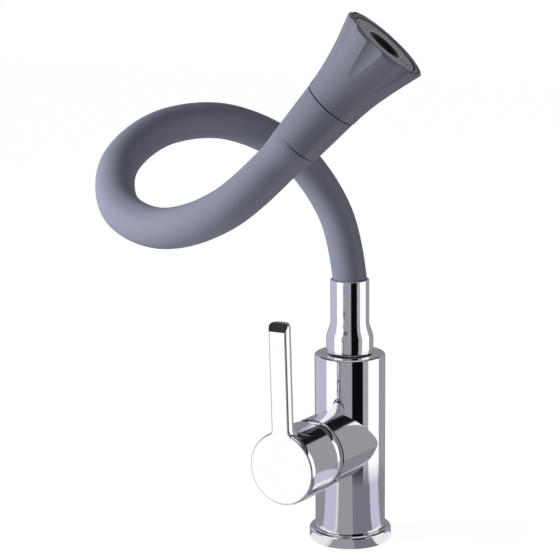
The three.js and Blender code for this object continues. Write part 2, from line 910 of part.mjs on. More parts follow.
// The wound core is in four lengths, which bend against each other across small gaps
function coreGeometry(from, to) {
  const hull = new THREE.Shape(circle(2 * coreRadius, smallSides));
  const core = toSolid(tube(coreRadius, coreBore, innerSteps, smallSides));
  return toGeometry(core.intersect(toSolid(sweep(hull, from, to))));
}

const innerSteps = routeSteps - 1;
const bendPlaces = bendPlaceShares.map((share) => share * routeLength);
const coreStarts = [0, ...bendPlaces.map((place) => place + bendGap / 2)];
const coreEnds = [...bendPlaces.map((place) => place - bendGap / 2), innerSteps * routeStep];
coreStarts.forEach((start, i) => {
  tap.add(piece(`gooseneck_core_${i + 1}`, coreGeometry(start, coreEnds[i]), 'steel'));
});
tap.add(
  piece('water_tube', tube(waterRadius, waterBore, innerSteps, smallSides), 'clear'),
  piece('silicone_sleeve', sleeveGeometry(), 'silicone'),
);

// Nozzle collar: a slim cone between the sleeve and the spray head
function collarGeometry() {
  const coreEnd = -routeStep + clearance;
  return turnedRing([
    [coreRadius + tubeWallGap, -collarLength],
    [collarRearRadius, -collarLength],
    [collarFrontRadius, -collarGroove],
    [inletTubeRadius + clearance, -collarGroove],
    [inletTubeRadius + clearance, coreEnd],
    [coreRadius + tubeWallGap, coreEnd],
  ], midSides);
}

// Inlet tube: a nipple in the water tube, a seal groove, and a flange that holds the head
function headInletGeometry() {
  const flangeStart = neckDepth + clearance;
  const grooveLow = neckDepth / 2 - headRingHeight / 2;
  const grooveHigh = neckDepth / 2 + headRingHeight / 2;
  return turnedRing([
    [stemBore, -routeStep - nippleLength / 2],
    [nippleRadius, -routeStep - nippleLength / 2],
    [nippleRadius, -routeStep + clearance],
    [inletTubeRadius, -routeStep + clearance],
    [inletTubeRadius, grooveLow],
    [inletTubeRadius - headRingDepth, grooveLow],
    [inletTubeRadius - headRingDepth, grooveHigh],
    [inletTubeRadius, grooveHigh],
    [inletTubeRadius, flangeStart],
    [inletFlangeRadius, flangeStart],
    [inletFlangeRadius, flangeStart + inletFlangeHeight],
    [stemBore, flangeStart + inletFlangeHeight],
  ], smallSides);
}

// The head's cavity is a cone from behind the inlet's flange to the spray plate's ledge
const seat = headLength - mouthDepth;
const cavityStart = neckDepth + clearance + inletFlangeHeight;

function cavityConeRadius(height) {
  const rear = headWaistRadius - headWall;
  const front = mouthRadius - mouthLedge;
  return rear + (front - rear) * (height - cavityStart) / (seat - cavityStart);
}

// Spray head: a concave neck, a straight flare cut by flat flutes, and a rounded lip
function headShellGeometry() {
  const flareEnd = headLength - headRimRounding;
  const swell = headWaistRadius - headNeckRadius;
  const neck = Array.from({ length: curveSteps + 1 }, (_, i) => {
    const share = i / curveSteps;
    return [headNeckRadius + swell * share ** headNeckPower, headWaist * share];
  });
  const shell = turnedRing([
    [inletTubeRadius + clearance, 0],
    ...neck,
    [headRimRadius, flareEnd],
    ...corner(headRimRadius - headRimRounding, flareEnd, headRimRounding, headRimAngle, Math.PI / 2),
    [mouthRadius + clearance, headLength],
    [mouthRadius, headLength - clearance],
    [mouthRadius, seat],
    [cavityConeRadius(seat), seat],
    [cavityConeRadius(cavityStart), cavityStart],
    [cavityConeRadius(cavityStart), neckDepth],
    [inletTubeRadius + clearance, neckDepth],
  ], bigSides);
  return cut(shell, Array.from({ length: flutes }, (_, i) => fluteTool(i)));
}

// A flute is the flat that a leaning plane cuts from the flare: a V with its point below the rim
function fluteTool(i) {
  const rimHeight = headLength - headRimRounding;
  const apexHeight = rimHeight - fluteRise;
  const slope = (headRimRadius - headWaistRadius) / (rimHeight - headWaist);
  const apexRadius = headRimRadius - slope * fluteRise;
  const rimFlat = headRimRadius * Math.cos(fluteHalfAngle);
  const lean = Math.atan2(rimFlat - apexRadius, fluteRise);
  return block([0, -headRimRadius, -overrun], [headRimRadius, headRimRadius, headLength])
    .rotateY(lean)
    .translate(apexRadius, 0, apexHeight)
    .rotateZ(2 * Math.PI * i / flutes);
}

// Inside the head: a water chamber behind the spray plate, with the aerator down its middle
const chamberStart = cavityStart + clearance;
const plateStart = seat + clearance;
const aeratorStart = chamberStart + chamberPlate + waterSlot;
const aeratorEnd = headLength - aeratorSetBack;
const aeratorBore = aeratorRadius - aeratorWall;
const screenStart = plateStart;

function waterChamberGeometry() {
  const end = plateStart - 2 * clearance;
  const outerLow = cavityConeRadius(chamberStart) - clearance;
  const outerHigh = cavityConeRadius(end) - clearance;
  return turnedRing([
    [stemBore, chamberStart],
    [outerLow, chamberStart],
    [outerHigh, end],
    [outerHigh - chamberWall, end],
    [outerLow - chamberWall, chamberStart + chamberPlate],
    [stemBore, chamberStart + chamberPlate],
  ], midSides);
}

function aeratorHousingGeometry() {
  return turnedRing([
    [stemBore, aeratorStart],
    [aeratorRadius, aeratorStart],
    [aeratorRadius, aeratorEnd],
    [aeratorBore, aeratorEnd],
    [aeratorBore, aeratorStart + aeratorWall],
    [stemBore, aeratorStart + aeratorWall],
  ], midSides);
}

// The insert breaks the stream in radial slots, and the screen below it straightens the flow
function aeratorInsertGeometry() {
  const end = screenStart - clearance;
  const start = end - insertHeight;
  const radius = aeratorBore - clearance;
  const slots = Array.from({ length: insertSlots }, (_, i) => block(
    [radius * insertSlotShares[0], -insertSlotWidth / 2, start - overrun],
    [radius * insertSlotShares[1], insertSlotWidth / 2, end + overrun],
  ).rotateZ(2 * Math.PI * i / insertSlots));
  return cut(rod(radius, start, end, smallSides), slots);
}

function aeratorScreenGeometry() {
  const end = screenStart + screenHeight;
  const hole = rod(screenHoleRadius, screenStart - overrun, end + overrun, hexSides, aeratorBore / 2);
  const holes = Array.from({ length: screenHoles }, (_, i) => (
    hole.clone().rotateZ(2 * Math.PI * i / screenHoles)
  ));
  return cut(rod(aeratorBore - clearance, screenStart, end, smallSides), holes);
}

// The spray plate carries two circles of soft nubs
function sprayPlateGeometry() {
  const inner = aeratorRadius + clearance;
  const outer = mouthRadius - clearance;
  const end = plateStart + plateHeight;
  const foot = plateStart + plateHeight / 2;
  const length = end + nubHeight - foot;
  const nubs = nubCircleShares.flatMap((share, circle) => {
    const place = inner + (outer - inner) * share;
    return Array.from({ length: nubCounts[circle] }, (_, i) => (
      new THREE.CylinderGeometry(nubTipRadius, nubRadius, length, nubSides)
        .rotateX(Math.PI / 2)
        .translate(place, 0, foot + length / 2)
        .rotateZ(2 * Math.PI * i / nubCounts[circle])
    ));
  });
  return join([washer(inner, outer, plateStart, end, midSides), ...nubs]);
}

headGroup.add(
  piece('nozzle_collar', collarGeometry(), 'greyPlastic'),
  piece('head_inlet', headInletGeometry(), 'brass'),
  piece('head_seal', sealRing(
    inletTubeRadius - headRingDepth + slip,
    inletTubeRadius + clearance - slip,
    neckDepth / 2,
    smallSides,
  ), 'rubber'),
  piece('spray_head', headShellGeometry(), 'silicone'),
  piece('water_chamber', waterChamberGeometry(), 'whitePlastic'),
  piece('aerator_housing', aeratorHousingGeometry(), 'blackPlastic'),
  piece('aerator_insert', aeratorInsertGeometry(), 'blackPlastic'),
  piece('aerator_screen', aeratorScreenGeometry(), 'steel'),
  piece('spray_plate', sprayPlateGeometry(), 'greyPlastic'),
);

export default tap;
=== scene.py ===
"""The looks of a chrome kitchen mixer tap with a bendable gooseneck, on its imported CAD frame."""

import json
import math

import bpy
from bpy.props import FloatProperty, FloatVectorProperty, IntProperty, PointerProperty
from bpy.types import Operator, Panel, PropertyGroup
from mathutils import Matrix, Vector


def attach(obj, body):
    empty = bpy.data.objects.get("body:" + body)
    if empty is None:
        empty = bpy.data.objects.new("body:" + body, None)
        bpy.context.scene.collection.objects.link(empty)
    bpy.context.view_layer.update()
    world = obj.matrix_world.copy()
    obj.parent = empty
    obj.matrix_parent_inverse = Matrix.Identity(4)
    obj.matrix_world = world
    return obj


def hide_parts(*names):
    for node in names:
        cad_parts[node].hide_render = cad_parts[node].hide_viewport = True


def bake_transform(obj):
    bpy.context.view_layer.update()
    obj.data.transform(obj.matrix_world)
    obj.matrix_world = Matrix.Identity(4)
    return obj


bl_info = {
    "name": "Kitchen Mixer Tap",
    "version": (1, 0, 0),
    "blender": (4, 5, 0),
    "location": "3D View > Sidebar > Mixer Tap",
    "description": "Models the visible pieces, finishes and studio of a kitchen mixer tap",
    "category": "Add Mesh",
}

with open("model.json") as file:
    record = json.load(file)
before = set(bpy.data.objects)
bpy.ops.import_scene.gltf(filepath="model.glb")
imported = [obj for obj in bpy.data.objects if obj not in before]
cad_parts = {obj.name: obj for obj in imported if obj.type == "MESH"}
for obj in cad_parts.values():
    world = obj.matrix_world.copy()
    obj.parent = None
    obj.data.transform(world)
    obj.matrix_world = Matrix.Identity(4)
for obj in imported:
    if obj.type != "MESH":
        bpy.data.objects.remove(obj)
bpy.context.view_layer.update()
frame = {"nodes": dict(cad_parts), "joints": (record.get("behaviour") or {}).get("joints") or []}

MM = 0.001
MERGE = 0.000002    # points nearer than this become one
SLIVER = 0.0003     # play where faces are picked by their place
OVERRUN = 0.001     # how far a cutting tool goes past the surface
QUARTER = math.pi / 2
TURN = 2 * math.pi
UP = Vector((0, 0, 1))
UPRIGHT = Matrix.Identity(4)

CREASE = math.radians(40)

# Sides of a nub, of a bore, of a turned piece and of a large turned piece
NUB_SIDES, BORE_SIDES, SIDES, FINE_SIDES = 16, 64, 128, 160


# Sizes and colours that a user would change

def number(name, description, default, unit="NONE"):
    return FloatProperty(name=name, description=description, default=default, unit=unit)


def length(name, description, default):
    return FloatProperty(
        name=name, description=description, default=default * MM, unit="LENGTH", precision=5)


def count(name, description, default):
    return IntProperty(name=name, description=description, default=default, min=1)


def turn_angle(name, description, default):
    return FloatProperty(
        name=name, description=description, default=math.radians(default), subtype="ANGLE")


def share(name, description, default):
    return FloatProperty(name=name, description=description, default=default, subtype="FACTOR")


def colour(name, description, default):
    return FloatVectorProperty(
        name=name, description=description, default=default, subtype="COLOR", size=3)


class BodySizes(PropertyGroup):
    radius: length("Body radius", "Outside radius of the upright body", 22.3)
    height: length("Body height", "Top of the body over the worktop", 121.2)
    shoulder: length("Shoulder", "Rounding of the body's top edge", 1.5)
    foot_radius: length("Foot radius", "Radius of the foot inside the base ring", 19)
    foot_height: length("Foot height", "Where the body's full radius starts", 8.3)
    ring_radius: length("Base ring radius", "Outside radius of the base ring", 26.1)
    ring_bore: length("Base ring bore", "Inside radius of the base ring", 19.3)
    ring_height: length("Base ring height", "Height of the base ring", 8)
    ring_top_round: length("Base ring top rounding", "Rounding of the ring's upper edge", 2)
    ring_foot_round: length("Base ring foot rounding", "Rounding of the ring's lower edge", 0.8)
    inlet_radius: length("Inlet radius", "Radius of each supply inlet", 4.6)
    inlet_depth: length("Inlet depth", "Depth of each supply inlet", 12)
    inlet_spread: length("Inlet spread", "Distance of each inlet from the middle", 9.5)
    inlet_back: length("Inlet set-back", "How far behind the middle the inlets are", 2)
    stud_radius: length("Stud hole radius", "Radius of the fixing stud's hole", 3.4)
    stud_depth: length("Stud hole depth", "Depth of the fixing stud's hole", 15)
    stud_front: length("Stud hole place", "How far before the middle the stud's hole is", 11)
    socket_radius: length("Spout socket radius", "Radius of the socket in the body's top", 10)
    socket_depth: length("Spout socket depth", "Depth of the socket in the body's top", 26)


class BarrelSizes(PropertyGroup):
    height: length("Barrel height", "Height of the barrel's axis", 66)
    radius: length("Barrel radius", "Outside radius of the cartridge barrel", 22.1)
    reach: length("Barrel reach", "Distance of the barrel's end from the body's axis", 44)
    chamfer: length("Barrel chamfer", "Chamfer of the barrel's end", 0.5)
    chamber_radius: length("Chamber radius", "Inside radius of the cartridge chamber", 18.7)
    chamber_floor: length("Chamber floor", "Distance of the chamber's floor from the body", 12)
    pivot: length("Pivot reach", "Distance of the lever's tilting axis from the body's axis", 46)
    dome_centre: length("Dome centre", "Distance of the dome's centre from the body's axis", 44.3)
    dome_radius: length("Dome radius", "Radius of the trim ring's dome", 20.4)
    dome_wall: length("Dome wall", "Wall of the trim ring", 2)
    dome_nose: length("Dome nose", "How far the dome goes beyond its centre", 12)
    dome_rear: length("Dome rear", "Where the dome starts along the barrel", 44.2)
    dome_bore: length("Dome bore", "Inside radius of the trim ring's rear", 17.7)


class HandleSizes(PropertyGroup):
    radius: length("Disc radius", "Radius of the handle's disc", 22.6)
    reach: length("Disc reach", "Distance of the disc's face from the body's axis", 79.8)
    wall: length("Plate thickness", "Thickness of the disc and the lever", 6.7)
    skirt_wall: length("Skirt wall", "Wall of the skirt behind the disc", 1.7)
    skirt_end: length("Skirt end", "Distance of the skirt's rim from the body's axis", 51.6)
    hub_radius: length("Hub radius", "Radius of the hub inside the skirt", 8.5)
    hub_length: length("Hub length", "Length of the hub behind the plate", 15.1)
    socket: length("Hub socket", "Width of the square socket for the spindle", 8.6)
    socket_end: length("Socket end", "How far the socket goes beyond the tilting axis", 22.3)
    bevel: length("Edge rounding", "Rounding of the skirt's and the tip's edges", 0.5)
    face_round: length("Face rounding", "Rounding of the edge round the handle's face", 0.8)
    side_round: length("Side rounding", "Radius of the bulging sides of the lever", 5.2)
    disc_bulge: share("Disc bulge", "How much of the lever's bulge the disc's edge has", 0.65)
    lever_width: length("Lever width", "Width of the lever", 11.3)
    lever_top: length("Lever top", "Height of the lever's end over the barrel's axis", 89.2)
    fillet: length("Fillet", "Inside rounding between the disc and the lever", 4)
    tip_corner: length("Tip corner", "Rounding of the lever's end corners", 2.7)
    tip_drop: length("Tip drop", "How far below the end the tip's flat starts", 5.2)
    tip_set_back: length("Tip set-back", "How far the tip's flat leans back", 3.2)
    lean: turn_angle("Lever lean", "How far the lever leans to the left of upright", 1.4)


class SpoutSizes(PropertyGroup):
    washer_radius: length("Washer radius", "Outside radius of the glide washer", 13.4)
    washer_bore: length("Washer bore", "Inside radius of the glide washer", 10)
    washer_start: length("Washer start", "Height of the glide washer's underside", 121.22)
    washer_height: length("Washer height", "Thickness of the glide washer", 0.45)
    start: length("Ferrule start", "Height of the ferrule's underside", 121.7)
    height: length("Ferrule height", "Height of the ferrule", 46.8)
    foot_radius: length("Ferrule foot radius", "Radius of the ferrule's foot", 14.1)
    foot_height: length("Ferrule foot height", "Height of the foot's rounding", 5)
    bulge_radius: length("Ferrule bulge radius", "Radius of the ferrule's wide part", 14.8)
    bulge_height: length("Ferrule bulge height", "Where the ferrule starts to narrow", 9.2)
    flare_height: length("Ferrule neck height", "Where the ferrule has its top radius", 20.1)
    top_radius: length("Ferrule top radius", "Radius of the ferrule's straight top", 12.15)
    lip: length("Ferrule lip", "Rounding of the ferrule's top edge", 0.6)
    stem_bore: length("Stem bore", "Bore for the swivel stem", 9.3)
    sleeve_bore: length("Sleeve bore", "Bore for the gooseneck's sleeve", 11)
    sleeve_seat: length("Sleeve seat", "Height of the sleeve's seat", 140.6)


class GooseneckSizes(PropertyGroup):
    start: length("Gooseneck start", "Height of the gooseneck's lower end", 140.9)
    radius: length("Sleeve radius", "Outside radius of the silicone sleeve", 10.65)
    wall: length("Sleeve wall", "Wall of the silicone sleeve", 2.05)
    cuff_radius: length("Cuff radius", "Outside radius at the end of the cuff", 12)
    cuff_gap: length("Cuff gap", "Gap between cuff and collar, below zero where they overlap", -0.2)
    cuff_length: length("Cuff length", "Length over which the sleeve widens", 16)
    cuff_lip: length("Cuff lip", "Rounding of the cuff's end", 0.15)
    water_radius: length("Water tube radius", "Outside radius of the water tube", 5)
    water_wall: length("Water tube wall", "Wall of the water tube", 1.5)
    water_end: length("Water tube end", "How far before the head the water tube ends", 15.3)
    first_split: share("First split", "Share of the route where the first stretch ends", 0.385)
    second_split: share("Second split", "Share of the route where the second stretch ends", 0.615)
    bend_reach: length("Bend reach", "Half the length that bends at each joint", 45)
    rings: count("Rings", "Rings of faces along the gooseneck", 360)


class HeadSizes(PropertyGroup):
    collar_length: length("Collar length", "Distance of the collar's rear from the head", 26)
    collar_rear: length("Collar rear radius", "Radius of the collar's rear", 12.25)
    collar_front: length("Collar front radius", "Radius of the collar's front", 14)
    collar_gap: length("Collar gap", "Groove between the collar and the head", 0.5)
    collar_bore: length("Collar bore", "Inside radius of the collar", 8.5)
    collar_edge: length("Collar edge", "Rounding of the collar's rear edge", 0.15)
    edge: length("Edge rounding", "Rounding of the collar's front and the neck's edges", 0.4)
    advance: length("Head advance", "How far the groove is set along the turning axis", 1.1)
    aside: length("Head set-over", "How far the groove is set over from the turning axis", 0.25)
    tilt: turn_angle("Head tilt", "How far the head is tilted from the turning axis", 0.8)
    total: length("Head length", "Length of the spray head", 39.4)
    neck_radius: length("Neck radius", "Radius of the head's rear", 14.35)
    waist: length("Waist", "Where the straight flare starts", 26)
    waist_radius: length("Waist radius", "Radius where the straight flare starts", 18.8)
    rim_radius: length("Rim radius", "Radius of the rim", 22.5)
    rim_round: length("Rim rounding", "Rounding of the rim", 1)
    groove_radius: length("Groove radius", "Inside radius of the groove round the front", 20.3)
    groove_width: length("Groove width", "Width of the groove round the front", 0.45)
    groove_depth: length("Groove depth", "Depth of the groove round the front", 0.8)
    wall: length("Head wall", "Wall of the spray head", 4.4)
    mouth_radius: length("Mouth radius", "Radius of the opening", 18.3)
    mouth_depth: length("Mouth depth", "Depth of the opening down to the plate's ledge", 2.7)
    ledge: length("Mouth ledge", "Ledge that the spray plate lies on", 1)
    rear_bore: length("Rear bore", "Bore for the inlet tube", 6.3)
    rear_wall: length("Rear wall", "Length of the rear bore", 10)
    cavity: length("Cavity start", "Where the inner cone starts", 12.1)
    flutes: count("Flutes", "Flutes round the flare", 8)
    flute_rise: length("Flute rise", "Length of each flute", 19.5)
    flute_angle: turn_angle("Flute half angle", "Half the angle that a flute takes of the rim", 12)
    flute_hollow: length("Flute hollow", "How deep a flute is hollowed below its flat", 0.9)


class SprayFaceSizes(PropertyGroup):
    start: length("Plate start", "Where the spray plate lies along the head", 36.9)
    height: length("Plate thickness", "Thickness of the spray plate", 1.8)
    outer: length("Plate radius", "Outside radius of the spray plate", 17.8)
    inner: length("Plate bore", "Inside radius of the spray plate", 9)
    rim: length("Plate rim", "Rounding of the plate's edges", 0.4)
    ring_count: count("Plate grooves", "Fine round grooves in the plate's face", 4)
    ring_width: length("Plate groove width", "Width of a fine groove", 0.5)
    ring_depth: length("Plate groove depth", "Depth of a fine groove", 1)
    nub_radius: length("Nub radius", "Radius of a nub's foot", 0.5)
    nub_height: length("Nub height", "Height of a nub", 0.5)
    inner_circle: share("Inner circle", "Share of the plate's width where the inner nubs are", 0.3)
    outer_circle: share("Outer circle", "Share of the plate's width where the outer nubs are", 0.7)
    inner_nubs: count("Inner nubs", "Nubs on the inner circle", 12)
    outer_nubs: count("Outer nubs", "Nubs on the outer circle", 18)
    housing_radius: length("Aerator radius", "Outside radius of the aerator housing", 8.7)
    housing_wall: length("Aerator wall", "Wall of the aerator housing", 1.5)
    housing_start: length("Aerator start", "Where the aerator housing starts", 16.3)
    housing_end: length("Aerator end", "Where the aerator housing ends", 38.6)
    water_hole: length("Water hole", "Radius of the hole in the housing's floor", 2)


class FinishColours(PropertyGroup):
    chrome: colour("Chrome", "Tint of the polished chrome", (0.83, 0.83, 0.85))
    sleeve: colour("Silicone", "Slate grey of the silicone sleeve", (0.135, 0.141, 0.185))
    head: colour("Head", "Slate grey of the collar and the spray head", (0.122, 0.128, 0.165))
    plate: colour("Spray plate", "Light grey of the spray plate", (0.42, 0.42, 0.44))
    black: colour("Black plastic", "Black of the aerator and the washer", (0.012, 0.012, 0.014))
    white: colour("White plastic", "White of the cartridge's mouldings", (0.72, 0.72, 0.70))
    brass: colour("Brass", "Yellow of the turned brass", (0.62, 0.46, 0.22))
    steel: colour("Steel", "Grey of the steel pieces", (0.50, 0.50, 0.51))
    rubber: colour("Seal rubber", "Black of the seals", (0.016, 0.016, 0.016))
    ceramic: colour("Ceramic", "Cream of the ceramic discs", (0.74, 0.71, 0.64))
    clear: colour("Clear tube", "Milky tint of the water tube", (0.62, 0.64, 0.66))
    floor: colour("Floor", "White of the floor", (0.92, 0.92, 0.92))


class StudioSizes(PropertyGroup):
    azimuth: turn_angle("Camera azimuth", "How far right of the front the camera stands", 31.2)
    elevation: turn_angle("Camera elevation", "How far the camera is over the horizon", 12.4)
    roll: turn_angle("Camera roll", "Turn of the camera about its own axis", -0.1)
    distance: length("Camera distance", "Distance from the camera to its target", 1100)
    target: length("Target height", "Height of the point that the camera looks at", 150)
    lens: number("Lens", "Focal length of the lens", 113.17, "CAMERA")
    shift_x: number("Shift X", "Sideways shift of the lens", -0.1247)
    shift_y: number("Shift Y", "Upward shift of the lens", 0.0494)
    lamp_distance: length("Lamp distance", "Distance of the soft lamp from the tap", 700)
    lamp_size: length("Lamp size", "Side of the soft lamp", 350)
    lamp_power: number("Lamp power", "Power of the soft lamp", 9.5, "POWER")
    floor_size: length("Floor size", "Side of the floor", 6000)
    # Inside this radius the chrome shows painted light and shade on the floor
    painted_floor_light_radius: length("Near floor", "Radius of the floor that the chrome shows", 165)
    # Radius of the painted pool of light on the floor by the base, which the base ring shows
    painted_base_light_radius: length("Bright floor", "Radius of the white floor that the base ring shows", 48)


GROUPS = {
    "tap_body_sizes": BodySizes,
    "tap_barrel_sizes": BarrelSizes,
    "tap_handle_sizes": HandleSizes,
    "tap_spout_sizes": SpoutSizes,
    "tap_gooseneck_sizes": GooseneckSizes,
    "tap_head_sizes": HeadSizes,
    "tap_spray_face_sizes": SprayFaceSizes,
    "tap_colours": FinishColours,
    "tap_studio": StudioSizes,
}


# Modelling by hand: outlines, spins, cuts and roundings

def deselect():
    bpy.ops.object.select_all(action="DESELECT")


def choose(piece, *others):
    deselect()
    for each in (*others, piece):
        each.select_set(True)
    bpy.context.view_layer.objects.active = piece


def edit(piece):
    choose(piece)
    bpy.ops.object.mode_set(mode="EDIT")


def done():
    bpy.ops.object.mode_set(mode="OBJECT")


def pick(piece, mode, test):
    """Selects the vertices or faces of an edited piece that pass the test."""
    bpy.ops.mesh.select_mode(type=mode)
    bpy.ops.mesh.select_all(action="DESELECT")
    done()
    parts = piece.data.vertices if mode == "VERT" else piece.data.polygons
    for part in parts:
        part.select = test(part)
    bpy.ops.object.mode_set(mode="EDIT")


def settle(piece, place):
    """Moves a piece from its own frame to its place, and leaves its object at the origin."""
    choose(piece)
    piece.matrix_world = place
    bpy.ops.object.transform_apply(location=True, rotation=True, scale=True)
    return piece


def traced(name, points):
    """Draws an outline from point to point: a plane merged to one vertex, then extruded on."""
    deselect()
    bpy.ops.mesh.primitive_plane_add(size=MM, location=points[0])
    piece = bpy.context.object
    piece.name = name
    settle(piece, piece.matrix_world.copy())
    edit(piece)
    bpy.ops.mesh.select_mode(type="VERT")
    bpy.ops.mesh.select_all(action="SELECT")
    bpy.ops.mesh.merge(type="CENTER")
    for before, after in zip(points, points[1:]):
        bpy.ops.mesh.extrude_vertices_move(TRANSFORM_OT_translate={"value": after - before})
    return piece


def tidy_mesh():
    bpy.ops.mesh.select_all(action="SELECT")
    bpy.ops.mesh.remove_doubles(threshold=MERGE)
    bpy.ops.mesh.normals_make_consistent(inside=False)


def closed(name, points):
    """An outline that ends where it starts, as an object of its own."""
    outline = traced(name, points + points[:1])
    tidy_mesh()
    done()
    return outline


def joined(pieces):
    choose(*pieces)
    bpy.ops.object.join()
    return pieces[0]


def bridged(outlines):
    """Joins outlines and bridges each to the next. The piece is left in edit mode."""
    piece = joined(outlines)
    edit(piece)
    bpy.ops.mesh.select_mode(type="EDGE")
    bpy.ops.mesh.select_all(action="SELECT")
    bpy.ops.mesh.bridge_edge_loops()
    return piece


def cap(piece, test):
    """Fills one face between the vertices of an edited piece that pass the test."""
    pick(piece, "VERT", test)
    bpy.ops.mesh.edge_face_add()


def repeated_round(piece, times):
    """A piece and its copies, spread evenly round the Z axis."""
    made = [piece]
    for i in range(1, times):
        choose(piece)
        bpy.ops.object.duplicate(linked=False)
        made.append(settle(bpy.context.object, Matrix.Rotation(TURN * i / times, 4, "Z")))
    return made


def turned(name, outline, place=UPRIGHT, sides=SIDES):
    """Spins a closed outline of radius and height points round the Z axis."""
    points = [Vector((radius, 0, height)) for radius, height in outline]
    piece = traced(name, points + points[:1])
    bpy.ops.mesh.select_all(action="SELECT")
    bpy.ops.mesh.spin(steps=sides, angle=TURN, center=(0, 0, 0), axis=UP)
    tidy_mesh()
    done()
    return settle(piece, place)


def arc(radius, height, rounding, start, end, steps):
    """Points of a corner in an outline, with the angle measured from outwards to upwards."""
    angles = [start + (end - start) * i / steps for i in range(steps + 1)]
    return [(radius + rounding * math.cos(a), height + rounding * math.sin(a)) for a in angles]


def top_corner(radius, height, rounding, steps):
    """Points of a rounded upper corner, given by the outline's own radius and height there."""
    return arc(radius - rounding, height - rounding, rounding, 0, QUARTER, steps)


def inner_corner(radius, height, rounding, steps):
    """Points of the rounded upper corner of a bore."""
    return arc(radius + rounding, height - rounding, -rounding, -QUARTER, 0, steps)


def foot_corner(radius, height, rounding, steps):
    """Points of a rounded lower corner."""
    return arc(radius - rounding, height + rounding, rounding, -QUARTER, 0, steps)


def eased(start, end, along):
    """From start to end on a smooth S, where along goes from 0 to 1."""
    return start + (end - start) * along ** 2 * (3 - 2 * along)


def rod(radius, low, high, place=UPRIGHT):
    deselect()
    bpy.ops.mesh.primitive_cylinder_add(
        vertices=BORE_SIDES, radius=radius, depth=high - low, location=UP * ((low + high) / 2))
    tool = bpy.context.object
    return settle(tool, place @ tool.matrix_world)


def slab(low, high, place):
    deselect()
    low, high = Vector(low), Vector(high)
    bpy.ops.mesh.primitive_cube_add(size=1, location=(low + high) / 2, scale=high - low)
    tool = bpy.context.object
    return settle(tool, place @ tool.matrix_world)


def modify(piece, kind, **settings):
    choose(piece)
    modifier = piece.modifiers.new(kind.title(), kind)
    for name, value in settings.items():
        setattr(modifier, name, value)
    bpy.ops.object.modifier_apply(modifier=modifier.name)
    return piece


def combine(piece, tool, operation):
    modify(piece, "BOOLEAN", operation=operation, object=tool, solver="EXACT")
    bpy.data.objects.remove(tool)
    return piece


def smooth(piece, degrees=30):
    """Shades by angle, and lets each large face keep its own normal beside a rounding."""
    choose(piece)
    bpy.ops.object.shade_smooth_by_angle(angle=math.radians(degrees))
    modify(piece, "WEIGHTED_NORMAL", keep_sharp=True, weight=100)
    return piece


def round_shine(piece, cylinders, play=0.001, facing=0.99):
    """Gives the faces on a cylinder its own normals, so that cuts leave no dents in the shine."""
    mesh = piece.data
    normals = [corner.vector.copy() for corner in mesh.corner_normals]
    for face in mesh.polygons:
        for origin, axis, radius in cylinders:
            arm = face.center - origin
            arm -= arm.project(axis)
            if abs(arm.length - radius) > radius * play or face.normal.dot(arm) < radius * facing:
                continue
            for corner in face.loop_indices:
                away = mesh.vertices[mesh.loops[corner].vertex_index].co - origin
                normals[corner] = (away - away.project(axis)).normalized()
    mesh.normals_split_custom_set(normals)


def dress(piece, finish):
    piece.data.materials.clear()
    piece.data.materials.append(finish)


def stand_for(piece, nodes, slot):
    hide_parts(*nodes)


def finished(piece, body, nodes, slot, finish=None):
    """Gives a piece its slot's finish or another, and puts it on its body for its CAD nodes."""
    dress(piece, finish_named(finish or SLOT_FINISHES[slot]))
    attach(piece, body)
    stand_for(piece, nodes, slot)


# Shader maths

class Signal:
    """A number that varies over a surface. Sums and products with it add Math nodes."""

    def __init__(self, graph, socket):
        self.graph = graph
        self.socket = socket

    def __add__(self, other):
        return self.graph.maths("ADD", self, other)

    def __radd__(self, other):
        return self.graph.maths("ADD", other, self)

    def __sub__(self, other):
        return self.graph.maths("SUBTRACT", self, other)

    def __rsub__(self, other):
        return self.graph.maths("SUBTRACT", other, self)

    def __mul__(self, other):
        return self.graph.maths("MULTIPLY", self, other)

    def __rmul__(self, other):
        return self.graph.maths("MULTIPLY", other, self)

    def __truediv__(self, other):
        return self.graph.maths("DIVIDE", self, other)

    def __mod__(self, other):
        return self.graph.maths("MODULO", self, other)

    def rise(self, start, end):
        """0 before start, 1 after end, and a straight slope between them."""
        return self.graph.signal(
            "ShaderNodeMapRange", {"clamp": True}, {0: self, 1: start, 2: end, 3: 0.0, 4: 1.0})


